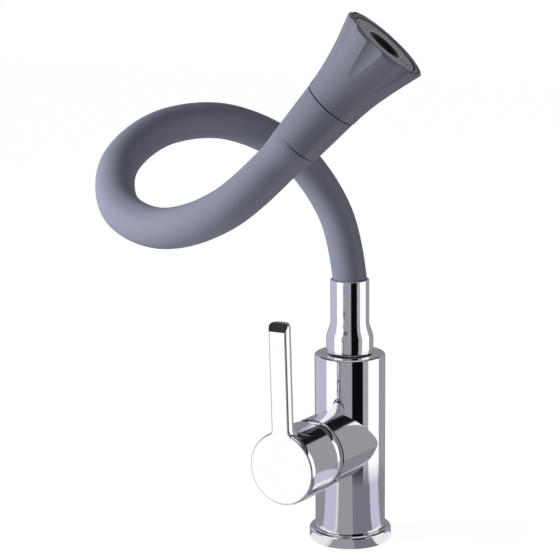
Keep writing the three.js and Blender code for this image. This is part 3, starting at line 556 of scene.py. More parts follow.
class Graph:
    """A node tree that is filled one node at a time."""

    def __init__(self, tree):
        self.tree = tree
        tree.nodes.clear()

    def add(self, kind, settings=None, inputs=None):
        made = self.tree.nodes.new(kind)
        for name, value in (settings or {}).items():
            if name == "stops":
                self.set_stops(made.color_ramp, value)
            else:
                setattr(made, name, value)
        for name, value in (inputs or {}).items():
            self.feed(made.inputs[name], value)
        return made

    def node(self, kind, settings=None, inputs=None, output=0):
        return self.add(kind, settings, inputs).outputs[output]

    def feed(self, socket, value):
        value = value.socket if isinstance(value, Signal) else value
        if isinstance(value, bpy.types.NodeSocket):
            self.tree.links.new(value, socket)
        else:
            socket.default_value = value

    def set_stops(self, ramp, stops):
        while len(ramp.elements) < len(stops):
            ramp.elements.new(1)
        for element, (place, shade) in zip(ramp.elements, stops):
            element.position = place
            element.color = (*shade, 1)

    def signal(self, kind, settings=None, inputs=None, output=0):
        return Signal(self, self.node(kind, settings, inputs, output))

    def maths(self, operation, *values):
        return self.signal("ShaderNodeMath", {"operation": operation}, dict(enumerate(values)))

    def place(self):
        return self.node("ShaderNodeTexCoord", output="Object")

    def axes(self, vector):
        split = self.add("ShaderNodeSeparateXYZ", inputs={0: vector})
        return [Signal(self, socket) for socket in split.outputs]

    def noise(self, scale, detail=2.0, vector=None):
        """Even noise from 0 to 1, with its scale in grains per metre."""
        inputs = {"Vector": vector or self.place(), "Scale": scale, "Detail": detail}
        return self.signal("ShaderNodeTexNoise", {}, inputs, "Fac")

    def blend(self, amount, first, second):
        settings = {"data_type": "RGBA", "clamp_factor": True}
        return self.node("ShaderNodeMix", settings, {0: amount, 6: first, 7: second}, 2)

    def bump(self, height, strength, depth):
        inputs = {"Height": height, "Strength": strength, "Distance": depth}
        return self.node("ShaderNodeBump", {}, inputs)

    def glow(self, shade):
        return self.node("ShaderNodeEmission", {}, {"Color": shade})

    def matt(self, shade):
        return self.node("ShaderNodeBsdfDiffuse", {}, {"Color": shade})

    def choice(self, amount, first, second):
        return self.node("ShaderNodeMixShader", {}, {0: amount, 1: first, 2: second})


def rgba(shade, scale=1.0):
    return (*(channel * scale for channel in shade), 1)


# Finishes: each gives a Principled BSDF's sockets for one of the user's colours

def polished_chrome(graph, shade):
    """Mirror chrome with faint wiped smears."""
    smear = graph.noise(55, 4)
    return {
        "Base Color": rgba(shade),
        "Metallic": 1.0,
        "Roughness": 0.035 + 0.025 * smear,
    }


def satin_silicone(graph, shade, roughness, grain):
    """Moulded silicone: a fine matt grain, and slightly uneven shade."""
    cloud = graph.noise(38, 3)
    fine = graph.noise(grain)
    return {
        "Base Color": graph.blend(cloud, rgba(shade, 0.94), rgba(shade, 1.06)),
        "Roughness": roughness + 0.08 * (fine - 0.5),
        "Normal": graph.bump(fine, 0.12, 0.00008),
    }


def moulded_plastic(graph, shade, roughness):
    """Plain moulded plastic with a faint spark-eroded grain."""
    grain = graph.noise(2600)
    cloud = graph.noise(120)
    return {
        "Base Color": graph.blend(cloud, rgba(shade, 0.95), rgba(shade, 1.05)),
        "Roughness": roughness + 0.1 * (grain - 0.5),
        "Normal": graph.bump(grain, 0.1, 0.00004),
    }


def turned_metal(graph, shade, roughness):
    """Machined metal with fine tool marks and a little tarnish."""
    x, y, z = graph.axes(graph.place())
    drawn_out = graph.node("ShaderNodeCombineXYZ", {}, {0: x * 0.1, 1: y * 0.1, 2: z})
    marks = graph.noise(900, 1, drawn_out)
    tarnish = graph.noise(90, 4)
    return {
        "Base Color": graph.blend(tarnish, rgba(shade, 0.86), rgba(shade, 1.1)),
        "Metallic": 1.0,
        "Roughness": roughness + 0.15 * (marks - 0.5),
        "Normal": graph.bump(marks, 0.08, 0.00005),
    }


def ground_ceramic(graph, shade):
    """Lapped ceramic with faint grinding speckle."""
    speckle = graph.noise(700, 3)
    return {
        "Base Color": graph.blend(speckle, rgba(shade, 0.93), rgba(shade)),
        "Roughness": 0.22 + 0.1 * speckle,
    }


def milky_tube(graph, shade):
    """Clear plastic water tube, slightly milky."""
    haze = graph.noise(200)
    return {
        "Base Color": graph.blend(haze, rgba(shade, 0.9), rgba(shade)),
        "Roughness": 0.2 + 0.1 * haze,
        "Alpha": 0.55,
    }


# Each finish with its maker, its colour and the maker's further settings. Three of the names,
# black_plastic, white_plastic and seal_rubber, are also those of materials that the frame brings.
FINISHES = {
    "polished_chrome": (polished_chrome, "chrome"),
    "sleeve_silicone": (satin_silicone, "sleeve", 0.52, 2400),
    "head_silicone": (satin_silicone, "head", 0.38, 2800),
    "plate_plastic": (moulded_plastic, "plate", 0.4),
    "black_plastic": (moulded_plastic, "black", 0.35),
    "white_plastic": (moulded_plastic, "white", 0.42),
    "turned_brass": (turned_metal, "brass", 0.28),
    "turned_steel": (turned_metal, "steel", 0.3),
    "seal_rubber": (satin_silicone, "rubber", 0.6, 3000),
    "ground_ceramic": (ground_ceramic, "ceramic"),
    "milky_tube": (milky_tube, "clear"),
}


def finish_named(name):
    """The material of that name. It is made only if neither the frame nor a call has made it."""
    if name in bpy.data.materials:
        return bpy.data.materials[name]
    maker, shade, *settings = FINISHES[name]
    finish = bpy.data.materials.new(name)
    finish.use_nodes = True
    graph = Graph(finish.node_tree)
    sockets = maker(graph, getattr(bpy.context.scene.tap_colours, shade), *settings)
    shader = graph.node("ShaderNodeBsdfPrincipled", {}, sockets)
    graph.add("ShaderNodeOutputMaterial", {}, {"Surface": shader})
    return finish


SLOT_FINISHES = {
    "chrome": "polished_chrome",
    "brass": "turned_brass",
    "steel": "turned_steel",
    "grey_silicone": "sleeve_silicone",
    "grey_plastic": "head_silicone",
    "light_plastic": "plate_plastic",
    "white_plastic": "white_plastic",
    "black_plastic": "black_plastic",
    "seal_rubber": "seal_rubber",
    "ceramic": "ground_ceramic",
    "clear_tube": "milky_tube",
}


# Places on the tap

def camera_turn():
    """The turn of a frame whose +Z runs from the tap to the camera."""
    studio = bpy.context.scene.tap_studio
    tilt = QUARTER - studio.elevation
    return Matrix.Rotation(studio.azimuth, 3, "Z") @ Matrix.Rotation(tilt, 3, "X")


def barrel_place():
    """The barrel's frame: +Z runs along the barrel, away from the body."""
    height = bpy.context.scene.tap_barrel_sizes.height
    return Matrix.Translation((0, 0, height)) @ Matrix.Rotation(QUARTER, 4, "X")


def joint(name):
    return next(each for each in frame["joints"] if each["name"] == name)


# The gooseneck's route from the ferrule's top, and how far its last knot lies behind the head
ROUTE = [
    (0, 0, -0.006), (0, 0, 0), (-0.0089, -0.0029, 0.0415), (-0.0277, -0.0229, 0.0802),
    (-0.0503, -0.0557, 0.1), (-0.064, -0.0985, 0.101), (-0.0528, -0.1583, 0.0862),
    (-0.0269, -0.1903, 0.0685), (0.0128, -0.2064, 0.0636), (0.0575, -0.2136, 0.0785),
]
HEAD_LEAD = 0.0252


def route_points(steps_each=60):
    """The gooseneck's centreline, a centripetal Catmull-Rom curve through the route's points."""
    spout = bpy.context.scene.tap_spout_sizes
    top = UP * (spout.start + spout.height)
    knots = [UP * bpy.context.scene.tap_gooseneck_sizes.start]
    knots += [top + Vector(point) for point in ROUTE]
    knots += [head_place() @ (UP * -HEAD_LEAD), head_place().translation]
    knots = [2 * knots[0] - knots[1], *knots, 2 * knots[-1] - knots[-2]]
    line = []
    for a, b, c, d in zip(knots, knots[1:], knots[2:], knots[3:]):
        gaps = [(q - p).length ** 0.5 for p, q in ((a, b), (b, c), (c, d))]
        leave = ((b - a) / gaps[0] - (c - a) / (gaps[0] + gaps[1]) + (c - b) / gaps[1]) * gaps[1]
        arrive = ((c - b) / gaps[1] - (d - b) / (gaps[1] + gaps[2]) + (d - c) / gaps[2]) * gaps[1]
        for i in range(steps_each):
            t = i / steps_each
            line.append(
                b * (2 * t ** 3 - 3 * t ** 2 + 1) + leave * (t ** 3 - 2 * t ** 2 + t)
                + c * (3 * t ** 2 - 2 * t ** 3) + arrive * (t ** 3 - t ** 2))
    return line + [knots[-2]]


class Route:
    """The centreline with its lengths, to be asked for a point at any length."""

    def __init__(self):
        self.line = route_points()
        self.marks = [0.0]
        for p, q in zip(self.line, self.line[1:]):
            self.marks.append(self.marks[-1] + (q - p).length)
        self.total = self.marks[-1]

    def at(self, distance):
        distance = min(max(distance, 0), self.total)
        index = next(i for i, mark in enumerate(self.marks[1:]) if mark >= distance - MERGE)
        span = self.marks[index + 1] - self.marks[index]
        return self.line[index].lerp(self.line[index + 1], (distance - self.marks[index]) / span)


def head_place():
    """The head's frame: its origin is the groove behind the head, and +Z leaves the mouth."""
    turning = joint("head_turn")
    sizes = bpy.context.scene.tap_head_sizes
    towards = camera_turn() @ UP
    straight = Vector(turning["axis"]).normalized()
    axis = Matrix.Rotation(-sizes.tilt, 3, towards) @ straight
    side = UP.cross(axis).normalized()
    turn = Matrix((side, axis.cross(side), axis)).transposed().to_4x4()
    aside = straight.cross(towards).normalized() * sizes.aside
    origin = Vector(turning["pos_m"]) + straight * sizes.advance + aside
    return Matrix.Translation(origin) @ turn


# Pieces

class TAP_OT_body(Operator):
    """Upright body with the cartridge barrel"""
    bl_idname = "tap.body"
    bl_label = "Body and barrel"

    def execute(self, context):
        sizes, barrel = context.scene.tap_body_sizes, context.scene.tap_barrel_sizes
        body = turned("tap_casting", [
            (0, 0),
            (sizes.foot_radius, 0),
            (sizes.foot_radius, sizes.foot_height),
            (sizes.radius, sizes.foot_height),
            *top_corner(sizes.radius, sizes.height, sizes.shoulder, steps=12),
            (0, sizes.height),
        ], sides=FINE_SIDES)
        tube = turned("barrel", [
            (0, 0),
            (barrel.radius, 0),
            (barrel.radius, barrel.reach - barrel.chamfer),
            (barrel.radius - barrel.chamfer, barrel.reach),
            (0, barrel.reach),
        ], barrel_place(), sides=FINE_SIDES)
        combine(body, tube, "UNION")
        for tool in self.hollows(sizes, barrel):
            combine(body, tool, "DIFFERENCE")
        smooth(body)
        round_shine(body, [
            (Vector((0, 0, 0)), UP, sizes.radius),
            (UP * barrel.height, Vector((0, -1, 0)), barrel.radius),
        ])
        finished(body, "tap_body", ["mixer_body"], "chrome")
        return {"FINISHED"}

    def hollows(self, sizes, barrel):
        """Tools for the cartridge chamber, the spout's socket, both inlets and the stud's hole."""
        top, front = sizes.height, barrel.reach
        yield rod(barrel.chamber_radius, barrel.chamber_floor, front + OVERRUN, barrel_place())
        yield rod(sizes.socket_radius, top - sizes.socket_depth, top + OVERRUN)
        for side in (-1, 1):
            inlet = Matrix.Translation((side * sizes.inlet_spread, sizes.inlet_back, 0))
            yield rod(sizes.inlet_radius, -OVERRUN, sizes.inlet_depth, inlet)
        stud = Matrix.Translation((0, -sizes.stud_front, 0))
        yield rod(sizes.stud_radius, -OVERRUN, sizes.stud_depth, stud)


class TAP_OT_base_ring(Operator):
    """Rounded base ring under the body"""
    bl_idname = "tap.base_ring"
    bl_label = "Base ring"

    def execute(self, context):
        sizes = context.scene.tap_body_sizes
        ring = turned("foot_ring", [
            (sizes.ring_bore, 0),
            *foot_corner(sizes.ring_radius, 0, sizes.ring_foot_round, steps=8),
            *top_corner(sizes.ring_radius, sizes.ring_height, sizes.ring_top_round, steps=16),
            (sizes.ring_bore, sizes.ring_height),
        ], sides=FINE_SIDES)
        finished(smooth(ring), "tap_body", ["base_ring"], "chrome")
        return {"FINISHED"}


class TAP_OT_trim_ring(Operator):
    """Domed trim ring between the barrel and the handle's skirt"""
    bl_idname = "tap.trim_ring"
    bl_label = "Trim ring"

    def execute(self, context):
        sizes = context.scene.tap_barrel_sizes
        centre, outer = sizes.dome_centre, sizes.dome_radius
        inner = outer - sizes.dome_wall
        rear = math.asin((sizes.dome_rear - centre) / outer)
        nose = math.asin(sizes.dome_nose / outer)
        inner_nose = math.asin(sizes.dome_nose / inner)
        inner_rear = math.acos(sizes.dome_bore / inner)
        ring = turned("trim_dome", [
            (sizes.dome_bore, sizes.dome_rear),
            *arc(0, centre, outer, rear, nose, steps=24),
            *arc(0, centre, inner, inner_nose, inner_rear, steps=8),
        ], barrel_place())
        finished(smooth(ring), "tap_body", ["trim_ring"], "chrome")
        return {"FINISHED"}


class TAP_OT_handle(Operator):
    """Lever handle: a disc with a skirt and hub behind it, and a flat lever"""
    bl_idname = "tap.handle"
    bl_label = "Lever handle"

    RIM_STEPS = 5
    SIDE_STEPS = 8
    DISC_STEPS, FILLET_STEPS, TIP_STEPS = 110, 12, 6

    def outline(self, sizes, depth):
        """The outline of disc and lever at a depth behind the face, and the seam between them."""
        middle = sizes.wall / 2

        def bulge_at(offset):
            return math.sqrt(sizes.side_round ** 2 - offset ** 2) - flat

        flat = math.sqrt(sizes.side_round ** 2 - middle ** 2)
        bulge = bulge_at(depth - middle)
        rim = max(0, 1 - depth / sizes.face_round)
        inset = sizes.face_round * (1 - math.sqrt(1 - rim ** 2))
        half = sizes.lever_width / 2 + bulge - inset
        disc_inset = sizes.disc_bulge * (bulge_at(0) - bulge) if depth < middle else 0
        radius = sizes.radius - inset - disc_inset
        fillet_x = half + sizes.fillet
        fillet_z = math.sqrt((radius + sizes.fillet) ** 2 - fillet_x ** 2)
        touch = math.atan2(fillet_z, fillet_x)
        corner_x, corner_z = half - sizes.tip_corner, sizes.lever_top - sizes.tip_corner
        disc = arc(0, 0, radius, math.pi - touch, TURN + touch, self.DISC_STEPS)
        seam = arc(0, 0, radius, touch, math.pi - touch, self.FILLET_STEPS)
        lever = [
            *arc(fillet_x, fillet_z, sizes.fillet, math.pi + touch, math.pi, self.FILLET_STEPS),
            *arc(corner_x, corner_z, sizes.tip_corner, 0, QUARTER, self.TIP_STEPS),
            *arc(-corner_x, corner_z, sizes.tip_corner, QUARTER, math.pi, self.TIP_STEPS),
            *arc(-fillet_x, fillet_z, sizes.fillet, 0, -touch, self.FILLET_STEPS),
        ]
        return disc[:-1] + lever[:-1], seam

    def plate(self, sizes):
        """Disc and lever in one, split at their seam on the back. It is left in edit mode."""
        rims = [sizes.face_round * (1 - math.cos(QUARTER * i / self.RIM_STEPS))
                for i in range(self.RIM_STEPS + 1)]
        sides = [sizes.wall * i / self.SIDE_STEPS for i in range(2, self.SIDE_STEPS + 1)]
        face, back = sizes.reach, sizes.reach - sizes.wall
        outlines = []
        for depth in rims + sides:
            points, seam_points = self.outline(sizes, depth)
            outlines.append(closed(
                "lever_and_disc", [Vector((x, z, face - depth)) for x, z in points]))
        seam = traced("seam", [Vector((x, z, back)) for x, z in seam_points])
        done()
        handle = bridged(outlines)
        cap(handle, lambda vertex: vertex.co.z > face - MERGE)
        done()
        joined([handle, seam])
        edit(handle)
        tidy_mesh()
        cap(handle, lambda vertex: (
            vertex.co.z < back + MERGE and vertex.co.xy.length < sizes.radius + SLIVER / 3))
        cap(handle, lambda vertex: (
            vertex.co.z < back + MERGE and vertex.co.y > seam_points[0][1] - MERGE * 5))
        tidy_mesh()
        return handle

    def add_hub_and_skirt(self, handle, sizes):
        """Insets the skirt's rim and the hub on the disc's back, and draws both out."""
        back = sizes.reach - sizes.wall
        middle = sizes.radius - sizes.skirt_wall / 2

        def on_disc(part):
            return part.center.z < back + SLIVER and part.center.xy.length < sizes.lever_width / 2

        def on_skirt(part):
            flush = part.center.z < back + SLIVER
            facing_back = part.normal.z < -0.9
            from_middle = abs(part.center.xy.length - middle)
            return flush and facing_back and from_middle < sizes.skirt_wall / 2

        pick(handle, "FACE", on_disc)
        bpy.ops.mesh.inset(thickness=sizes.skirt_wall)
        bpy.ops.mesh.inset(thickness=sizes.radius - sizes.skirt_wall - sizes.hub_radius)
        bpy.ops.mesh.extrude_region_move(
            TRANSFORM_OT_translate={"value": (0, 0, -sizes.hub_length)})
        pick(handle, "FACE", on_skirt)
        bpy.ops.mesh.extrude_region_move(
            TRANSFORM_OT_translate={"value": (0, 0, sizes.skirt_end - back)})

    def execute(self, context):
        sizes, barrel = context.scene.tap_handle_sizes, context.scene.tap_barrel_sizes
        handle = self.plate(sizes)
        self.add_hub_and_skirt(handle, sizes)
        bpy.ops.mesh.select_all(action="SELECT")
        tip = Vector((0, sizes.lever_top - sizes.tip_drop, sizes.reach))
        slope = Vector((0, sizes.tip_set_back, sizes.tip_drop)).normalized()
        bpy.ops.mesh.bisect(plane_co=tip, plane_no=slope, use_fill=True, clear_outer=True)
        tidy_mesh()
        done()
        modify(handle, "BEVEL", width=sizes.bevel, segments=4, limit_method="ANGLE",
               angle_limit=CREASE)
        place = barrel_place() @ Matrix.Rotation(sizes.lean, 4, "Z")
        settle(handle, place)
        socket = sizes.socket / 2
        hub_end = sizes.reach - sizes.wall - sizes.hub_length
        combine(handle, slab(
            (-socket, -socket, hub_end - OVERRUN),
            (socket, socket, barrel.pivot + sizes.socket_end),
            place), "DIFFERENCE")
        finished(smooth(handle, degrees=24), "lever", ["lever_handle"], "chrome")
        return {"FINISHED"}


class TAP_OT_ferrule(Operator):
    """Swivel ferrule over its glide washer"""
    bl_idname = "tap.ferrule"
    bl_label = "Swivel ferrule"

    FOOT_STEPS = 12
    NARROWING_STEPS = 30

    def execute(self, context):
        sizes = context.scene.tap_spout_sizes
        washer_top = sizes.washer_start + sizes.washer_height
        washer = turned("swivel_washer", [
            (sizes.washer_bore, sizes.washer_start),
            (sizes.washer_radius, sizes.washer_start),
            (sizes.washer_radius, washer_top),
            (sizes.washer_bore, washer_top),
        ])
        finished(smooth(washer), "tap_body", ["glide_washer"], "black_plastic")
        top = sizes.start + sizes.height
        ferrule = turned("swivel_ferrule", [
            (sizes.stem_bore, sizes.start),
            *self.foot(sizes),
            *self.narrowing(sizes),
            *top_corner(sizes.top_radius, top, sizes.lip, steps=8),
            (sizes.sleeve_bore, top),
            (sizes.sleeve_bore, sizes.sleeve_seat),
            (sizes.stem_bore, sizes.sleeve_seat),
        ])
        finished(smooth(ferrule), "spout", ["spout_ferrule"], "chrome")
        return {"FINISHED"}

    def foot(self, sizes):
        """The round of the foot, from its underside up to the bulge."""
        widening = sizes.bulge_radius - sizes.foot_radius
        for i in range(self.FOOT_STEPS + 1):
            angle = QUARTER * i / self.FOOT_STEPS
            yield (sizes.foot_radius + widening * math.sin(angle),
                   sizes.start + sizes.foot_height * (1 - math.cos(angle)))

    def narrowing(self, sizes):
        """The S from the bulge up to the straight top."""
        rise = sizes.flare_height - sizes.bulge_height
        for i in range(self.NARROWING_STEPS + 1):
            along = i / self.NARROWING_STEPS
            yield (eased(sizes.bulge_radius, sizes.top_radius, along),
                   sizes.start + sizes.bulge_height + rise * along)


HOSE_ROUNDNESS = 22


def hose_stretch(name, route, start, end, radius_at, wall, rings):
    """A walled tube along a stretch of the route, made from a curve."""
    steps = max(2, round(rings * (end - start) / route.total))
    stops = [start + (end - start) * i / steps for i in range(steps + 1)]
    curve = bpy.data.curves.new(name, "CURVE")
    curve.dimensions = "3D"
    curve.bevel_depth = MM
    curve.bevel_resolution = HOSE_ROUNDNESS
    curve.use_fill_caps = False
    spline = curve.splines.new("POLY")
    spline.points.add(steps)
    for point, stop in zip(spline.points, stops):
        point.co = (*route.at(stop), 1)
        point.radius = radius_at(stop) / MM
    tube = bpy.data.objects.new(name, curve)
    bpy.context.scene.collection.objects.link(tube)
    choose(tube)
    bpy.ops.object.convert(target="MESH")
    tube = bpy.context.object
    edit(tube)
    tidy_mesh()
    done()
    modify(tube, "SOLIDIFY", thickness=wall, offset=-1)
    choose(tube)
    bpy.ops.object.shade_smooth_by_angle(angle=CREASE)
    return tube


def bend_hose(tube, name, first, second, reach):
    """Finds the joint and the route's heading there, and bakes the stretch's place into its mesh;
    it does not bend the stretch.
    """
    bending = joint(name)
    route = Route()
    place = Vector(bending["pos_m"])
    nearest = min(range(len(route.line) - 1), key=lambda i: (route.line[i] - place).length)
    heading = (route.line[nearest + 1] - route.line[nearest]).normalized()
    place - heading * reach
    place + heading * reach
    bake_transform(tube)


BENDS = [
    ("bend_1", "spout", "gooseneck_2"),
    ("bend_2", "gooseneck_2", "gooseneck_3"),
    ("bend_3", "gooseneck_3", "gooseneck_end"),
]


class TAP_OT_gooseneck(Operator):
    """Silicone sleeve of the gooseneck with its cuff, and the water tube inside"""
    bl_idname = "tap.gooseneck"
    bl_label = "Gooseneck"

    def execute(self, context):
        sizes, head = context.scene.tap_gooseneck_sizes, context.scene.tap_head_sizes
        route = Route()
        cuff_end = route.total - head.collar_length - sizes.cuff_gap

        def sleeve_radius(distance):
            left = max(0, cuff_end - distance)
            widen = max(0, 1 - left / sizes.cuff_length)
            lip = max(0, 1 - left / sizes.cuff_lip)
            return (eased(sizes.radius, sizes.cuff_radius, widen)
                    - sizes.cuff_lip * (1 - math.sqrt(1 - lip ** 2)))

        def water_radius(distance):
            return sizes.water_radius

        layers = [
            ("gooseneck_sleeve", cuff_end, sleeve_radius, sizes.wall, sizes.rings,
             "silicone_sleeve", "grey_silicone"),
            ("inner_water_tube", route.total - sizes.water_end, water_radius, sizes.water_wall,
             sizes.rings / 3, "water_tube", "clear_tube"),
        ]
        splits = [sizes.first_split * route.total, sizes.second_split * route.total]
        for i, (bend, first, second) in enumerate(BENDS):
            for name, end, radius_at, wall, rings, node, slot in layers:
                stops = [0, *splits, end]
                stretch = hose_stretch(
                    f"{name}_{i + 1}", route, stops[i], stops[i + 1], radius_at, wall, rings)
                dress(stretch, finish_named(SLOT_FINISHES[slot]))
                bend_hose(stretch, bend, first, second, sizes.bend_reach)
                stand_for(stretch, [node], slot)
        return {"FINISHED"}


class TAP_OT_collar(Operator):
    """Slim collar between the gooseneck and the spray head"""
    bl_idname = "tap.collar"
    bl_label = "Nozzle collar"

    def execute(self, context):
        sizes = context.scene.tap_head_sizes
        rear, front = -sizes.collar_length, -sizes.collar_gap
        collar = turned("head_collar", [
            (sizes.collar_bore, rear),
            *foot_corner(sizes.collar_rear, rear, sizes.collar_edge, steps=6),
            *top_corner(sizes.collar_front, front, sizes.edge, steps=6),
            (sizes.collar_bore, front),
        ], head_place())
        finished(smooth(collar), "gooseneck_end", ["nozzle_collar"], "grey_plastic")
        return {"FINISHED"}


class TAP_OT_spray_head(Operator):
    """Flared spray head with its flutes"""
    bl_idname = "tap.spray_head"
    bl_label = "Spray head"

    NECK_CURVE = 1.6
    NECK_STEPS = 24
    FLUTE_STEPS = 24
    FLUTE_HALF_SECTIONS = 6

    def execute(self, context):
        sizes = context.scene.tap_head_sizes
        total, rim = sizes.total, sizes.rim_round
        seat = total - sizes.mouth_depth
        cavity_rear = sizes.waist_radius - sizes.wall
        cavity_front = sizes.mouth_radius - sizes.ledge
        groove_outer = sizes.groove_radius + sizes.groove_width
        groove_floor = total - sizes.groove_depth
        neck = [sizes.waist * i / self.NECK_STEPS for i in range(2, self.NECK_STEPS + 1)]
        head = turned("fluted_head", [
            (sizes.rear_bore, 0),
            *foot_corner(sizes.neck_radius, 0, sizes.edge, steps=6),
            *((self.radius_at(sizes, stop), stop) for stop in neck),
            (sizes.rim_radius, total - rim),
            *arc(sizes.rim_radius - rim, total - rim, rim, QUARTER / 4, QUARTER, steps=16),
            (groove_outer, total),
            (groove_outer, groove_floor),
            (sizes.groove_radius, groove_floor),
            (sizes.groove_radius, total),
            *inner_corner(sizes.mouth_radius, total, sizes.edge, steps=6),
            (sizes.mouth_radius, seat),
            (cavity_front, seat),
            (cavity_rear, sizes.cavity),
            (cavity_rear, sizes.rear_wall),
            (sizes.rear_bore, sizes.rear_wall),
        ], sides=FINE_SIDES)
        combine(head, self.flute_tools(sizes), "DIFFERENCE")
        settle(head, head_place())
        finished(smooth(head, degrees=5), "head", ["spray_head"], "grey_silicone",
                 "head_silicone")
        return {"FINISHED"}

    def radius_at(self, sizes, height):
        """Outside radius before the flutes are cut: a curved neck, then a straight flare."""
        if height < sizes.waist:
            along = (height / sizes.waist) ** self.NECK_CURVE
            return sizes.neck_radius + (sizes.waist_radius - sizes.neck_radius) * along
        along = (height - sizes.waist) / (sizes.total - sizes.rim_round - sizes.waist)
        return sizes.waist_radius + (sizes.rim_radius - sizes.waist_radius) * along

    def flute_tools(self, sizes):
        """Blocks whose inner faces cut the flutes. One is modelled, and the rest are copies."""
        width = sizes.rim_radius / 4
        sections = []
        for i in range(-self.FLUTE_HALF_SECTIONS, self.FLUTE_HALF_SECTIONS + 1):
            sections.append(closed(
                "flute", self.flute_section(sizes, width * i / self.FLUTE_HALF_SECTIONS)))
        first = bridged(sections)
        for end in (-width, width):
            cap(first, lambda vertex: abs(vertex.co.y - end) < MERGE)
        tidy_mesh()
        done()
        return joined(repeated_round(first, sizes.flutes))

    def flute_section(self, sizes, aside):
        """A block's outline, which cuts deeper towards the rim and in the flute's middle."""
        rim_height = sizes.total - sizes.rim_round
        deepest = sizes.rim_radius * (1 - math.cos(sizes.flute_angle))
        far = sizes.rim_radius + sizes.wall
        inner = []
        for i in range(self.FLUTE_STEPS + 3):   # two steps more than up to the rim
            along = i / self.FLUTE_STEPS
            depth = deepest * along
            stop = rim_height + sizes.flute_rise * (along - 1)
            radius = self.radius_at(sizes, stop)
            chord = max(MM / 2, math.sqrt(radius ** 2 - (radius - depth) ** 2))
            hollow = sizes.flute_hollow * along * (1 - (aside / chord) ** 2)
            inner.append(Vector((min(far - MM, radius - depth - hollow), aside, stop)))
        return inner + [Vector((far, aside, inner[-1].z)), Vector((far, aside, inner[0].z))]


class TAP_OT_spray_face(Operator):
    """Spray plate with its nubs, and the aerator housing in its middle"""
    bl_idname = "tap.spray_face"
    bl_label = "Spray face"

    def execute(self, context):
        sizes = context.scene.tap_spray_face_sizes
        self.add_plate(sizes)
        self.add_housing(sizes)
        return {"FINISHED"}

    def add_plate(self, sizes):
        end = sizes.start + sizes.height
        plate = turned("nubbed_plate", [
            (sizes.inner, sizes.start),
            (sizes.outer, sizes.start),
            *top_corner(sizes.outer, end, sizes.rim, steps=4),
            *self.grooves(sizes, end),
            *inner_corner(sizes.inner, end, sizes.rim, steps=4),
        ])
        nubs = []
        for place, times in (
                (sizes.inner_circle, sizes.inner_nubs), (sizes.outer_circle, sizes.outer_nubs)):
            radius = sizes.inner + (sizes.outer - sizes.inner) * place
            nubs += repeated_round(self.nub(sizes, radius, end), times)
        joined([plate, *nubs])
        settle(plate, head_place())
        finished(smooth(plate, degrees=40), "head", ["spray_plate"], "light_plastic")

    def add_housing(self, sizes):
        hole, outer = sizes.water_hole, sizes.housing_radius
        bore, floor = outer - sizes.housing_wall, sizes.housing_start + sizes.housing_wall
        housing = turned("aerator_cup", [
            (hole, sizes.housing_start),
            (outer, sizes.housing_start),
            *top_corner(outer, sizes.housing_end, sizes.rim, steps=4),
            *inner_corner(bore, sizes.housing_end, sizes.rim, steps=4),
            (bore, floor),
            (hole, floor),
        ], head_place())
        finished(smooth(housing), "head", ["aerator_housing"], "black_plastic")

    def grooves(self, sizes, end):
        """Fine round grooves in the plate's face, from the outside inwards."""
        points = []
        for i in range(sizes.ring_count):
            place = sizes.outer - (sizes.outer - sizes.inner) * (i + 1) / (sizes.ring_count + 1)
            for side, depth in ((1, 0), (1, 1), (-1, 1), (-1, 0)):
                points.append((place + side * sizes.ring_width / 2, end - depth * sizes.ring_depth))
        return points

    def nub(self, sizes, radius, end):
        """A rounded nub on the plate's face, sunk halfway into the plate."""
        deselect()
        sunk = sizes.height / 2
        bpy.ops.mesh.primitive_cone_add(
            vertices=NUB_SIDES, radius1=sizes.nub_radius, radius2=sizes.nub_radius / 2,
            depth=sizes.nub_height + sunk,
            location=(radius, 0, end + (sizes.nub_height - sunk) / 2))
        nub = bpy.context.object
        modify(nub, "BEVEL", width=sizes.nub_radius / 4, segments=2, limit_method="ANGLE")
        return settle(nub, nub.matrix_world.copy())


class TAP_OT_cad_finishes(Operator):
    """Finishes of the CAD nodes that stay as they are"""
    bl_idname = "tap.cad_finishes"
    bl_label = "Finishes of the CAD nodes"

    def execute(self, context):
        for node in frame["nodes"].values():
            for place in node.material_slots:
                place.material = finish_named(SLOT_FINISHES[place.material.name.split(".")[0]])
        return {"FINISHED"}


# Bands round the horizon, each from one angle to another in degrees right of the camera.
# In the chrome the world's bands show as the upright strips and dark cards of a studio, and the
# floor's bands are painted light and shade on the floor.
WORLD_BANDS = [
    (-180, -150, (0.28, 0.28, 0.30)),
    (-150, -82, (0.58, 0.56, 0.70)),
    (-82, -37, (1.2, 1.2, 1.2)),
    (-37, 6.6, (0.36, 0.36, 0.40)),
    (6.6, 43, (0.004, 0.004, 0.005)),
    (43, 62, (0.42, 0.42, 0.45)),
    (62, 109, (1.2, 1.2, 1.2)),
    (109, 111, (0.06, 0.06, 0.07)),
    (111, 150, (0.36, 0.36, 0.39)),
    (150, 180, (0.28, 0.28, 0.30)),
]
# Painted light and shade on the floor near the tap: bright where the strips would light the floor,
# dark where the cards would shade it
PAINTED_FLOOR_LIGHT_BANDS = [
    (-180, -82, (0.31, 0.31, 0.34)),
    (-82, -42, (0.60, 0.58, 0.74)),
    (-42, -35, (0.80, 0.78, 0.76)),
    (-35, 7, (0.35, 0.35, 0.38)),
    (7, 62, (0.21, 0.21, 0.25)),
    (62, 98, (0.63, 0.61, 0.76)),
    (98, 180, (0.27, 0.27, 0.30)),
]
# Where the painted pool of light by the base lies: 1 on the lit sides, 0 elsewhere
PAINTED_BASE_LIGHT_BANDS = [
    (-180, -91, (0, 0, 0)),
    (-91, -42, (1, 1, 1)),
    (-42, 46, (0, 0, 0)),
    (46, 98, (1, 1, 1)),
    (98, 180, (0, 0, 0)),
]
BAND_EDGE = 0.6         # degrees that a band gives up at each end to blend into the next

# What the chrome shows above the strips: each shade takes over between two angles of elevation
ABOVE_STRIPS = [
    (31.5, 33, (0.01, 0.01, 0.012)),
    (36, 42, (0.10, 0.10, 0.11)),
    (56, 66, (0.7, 0.7, 0.72)),
]

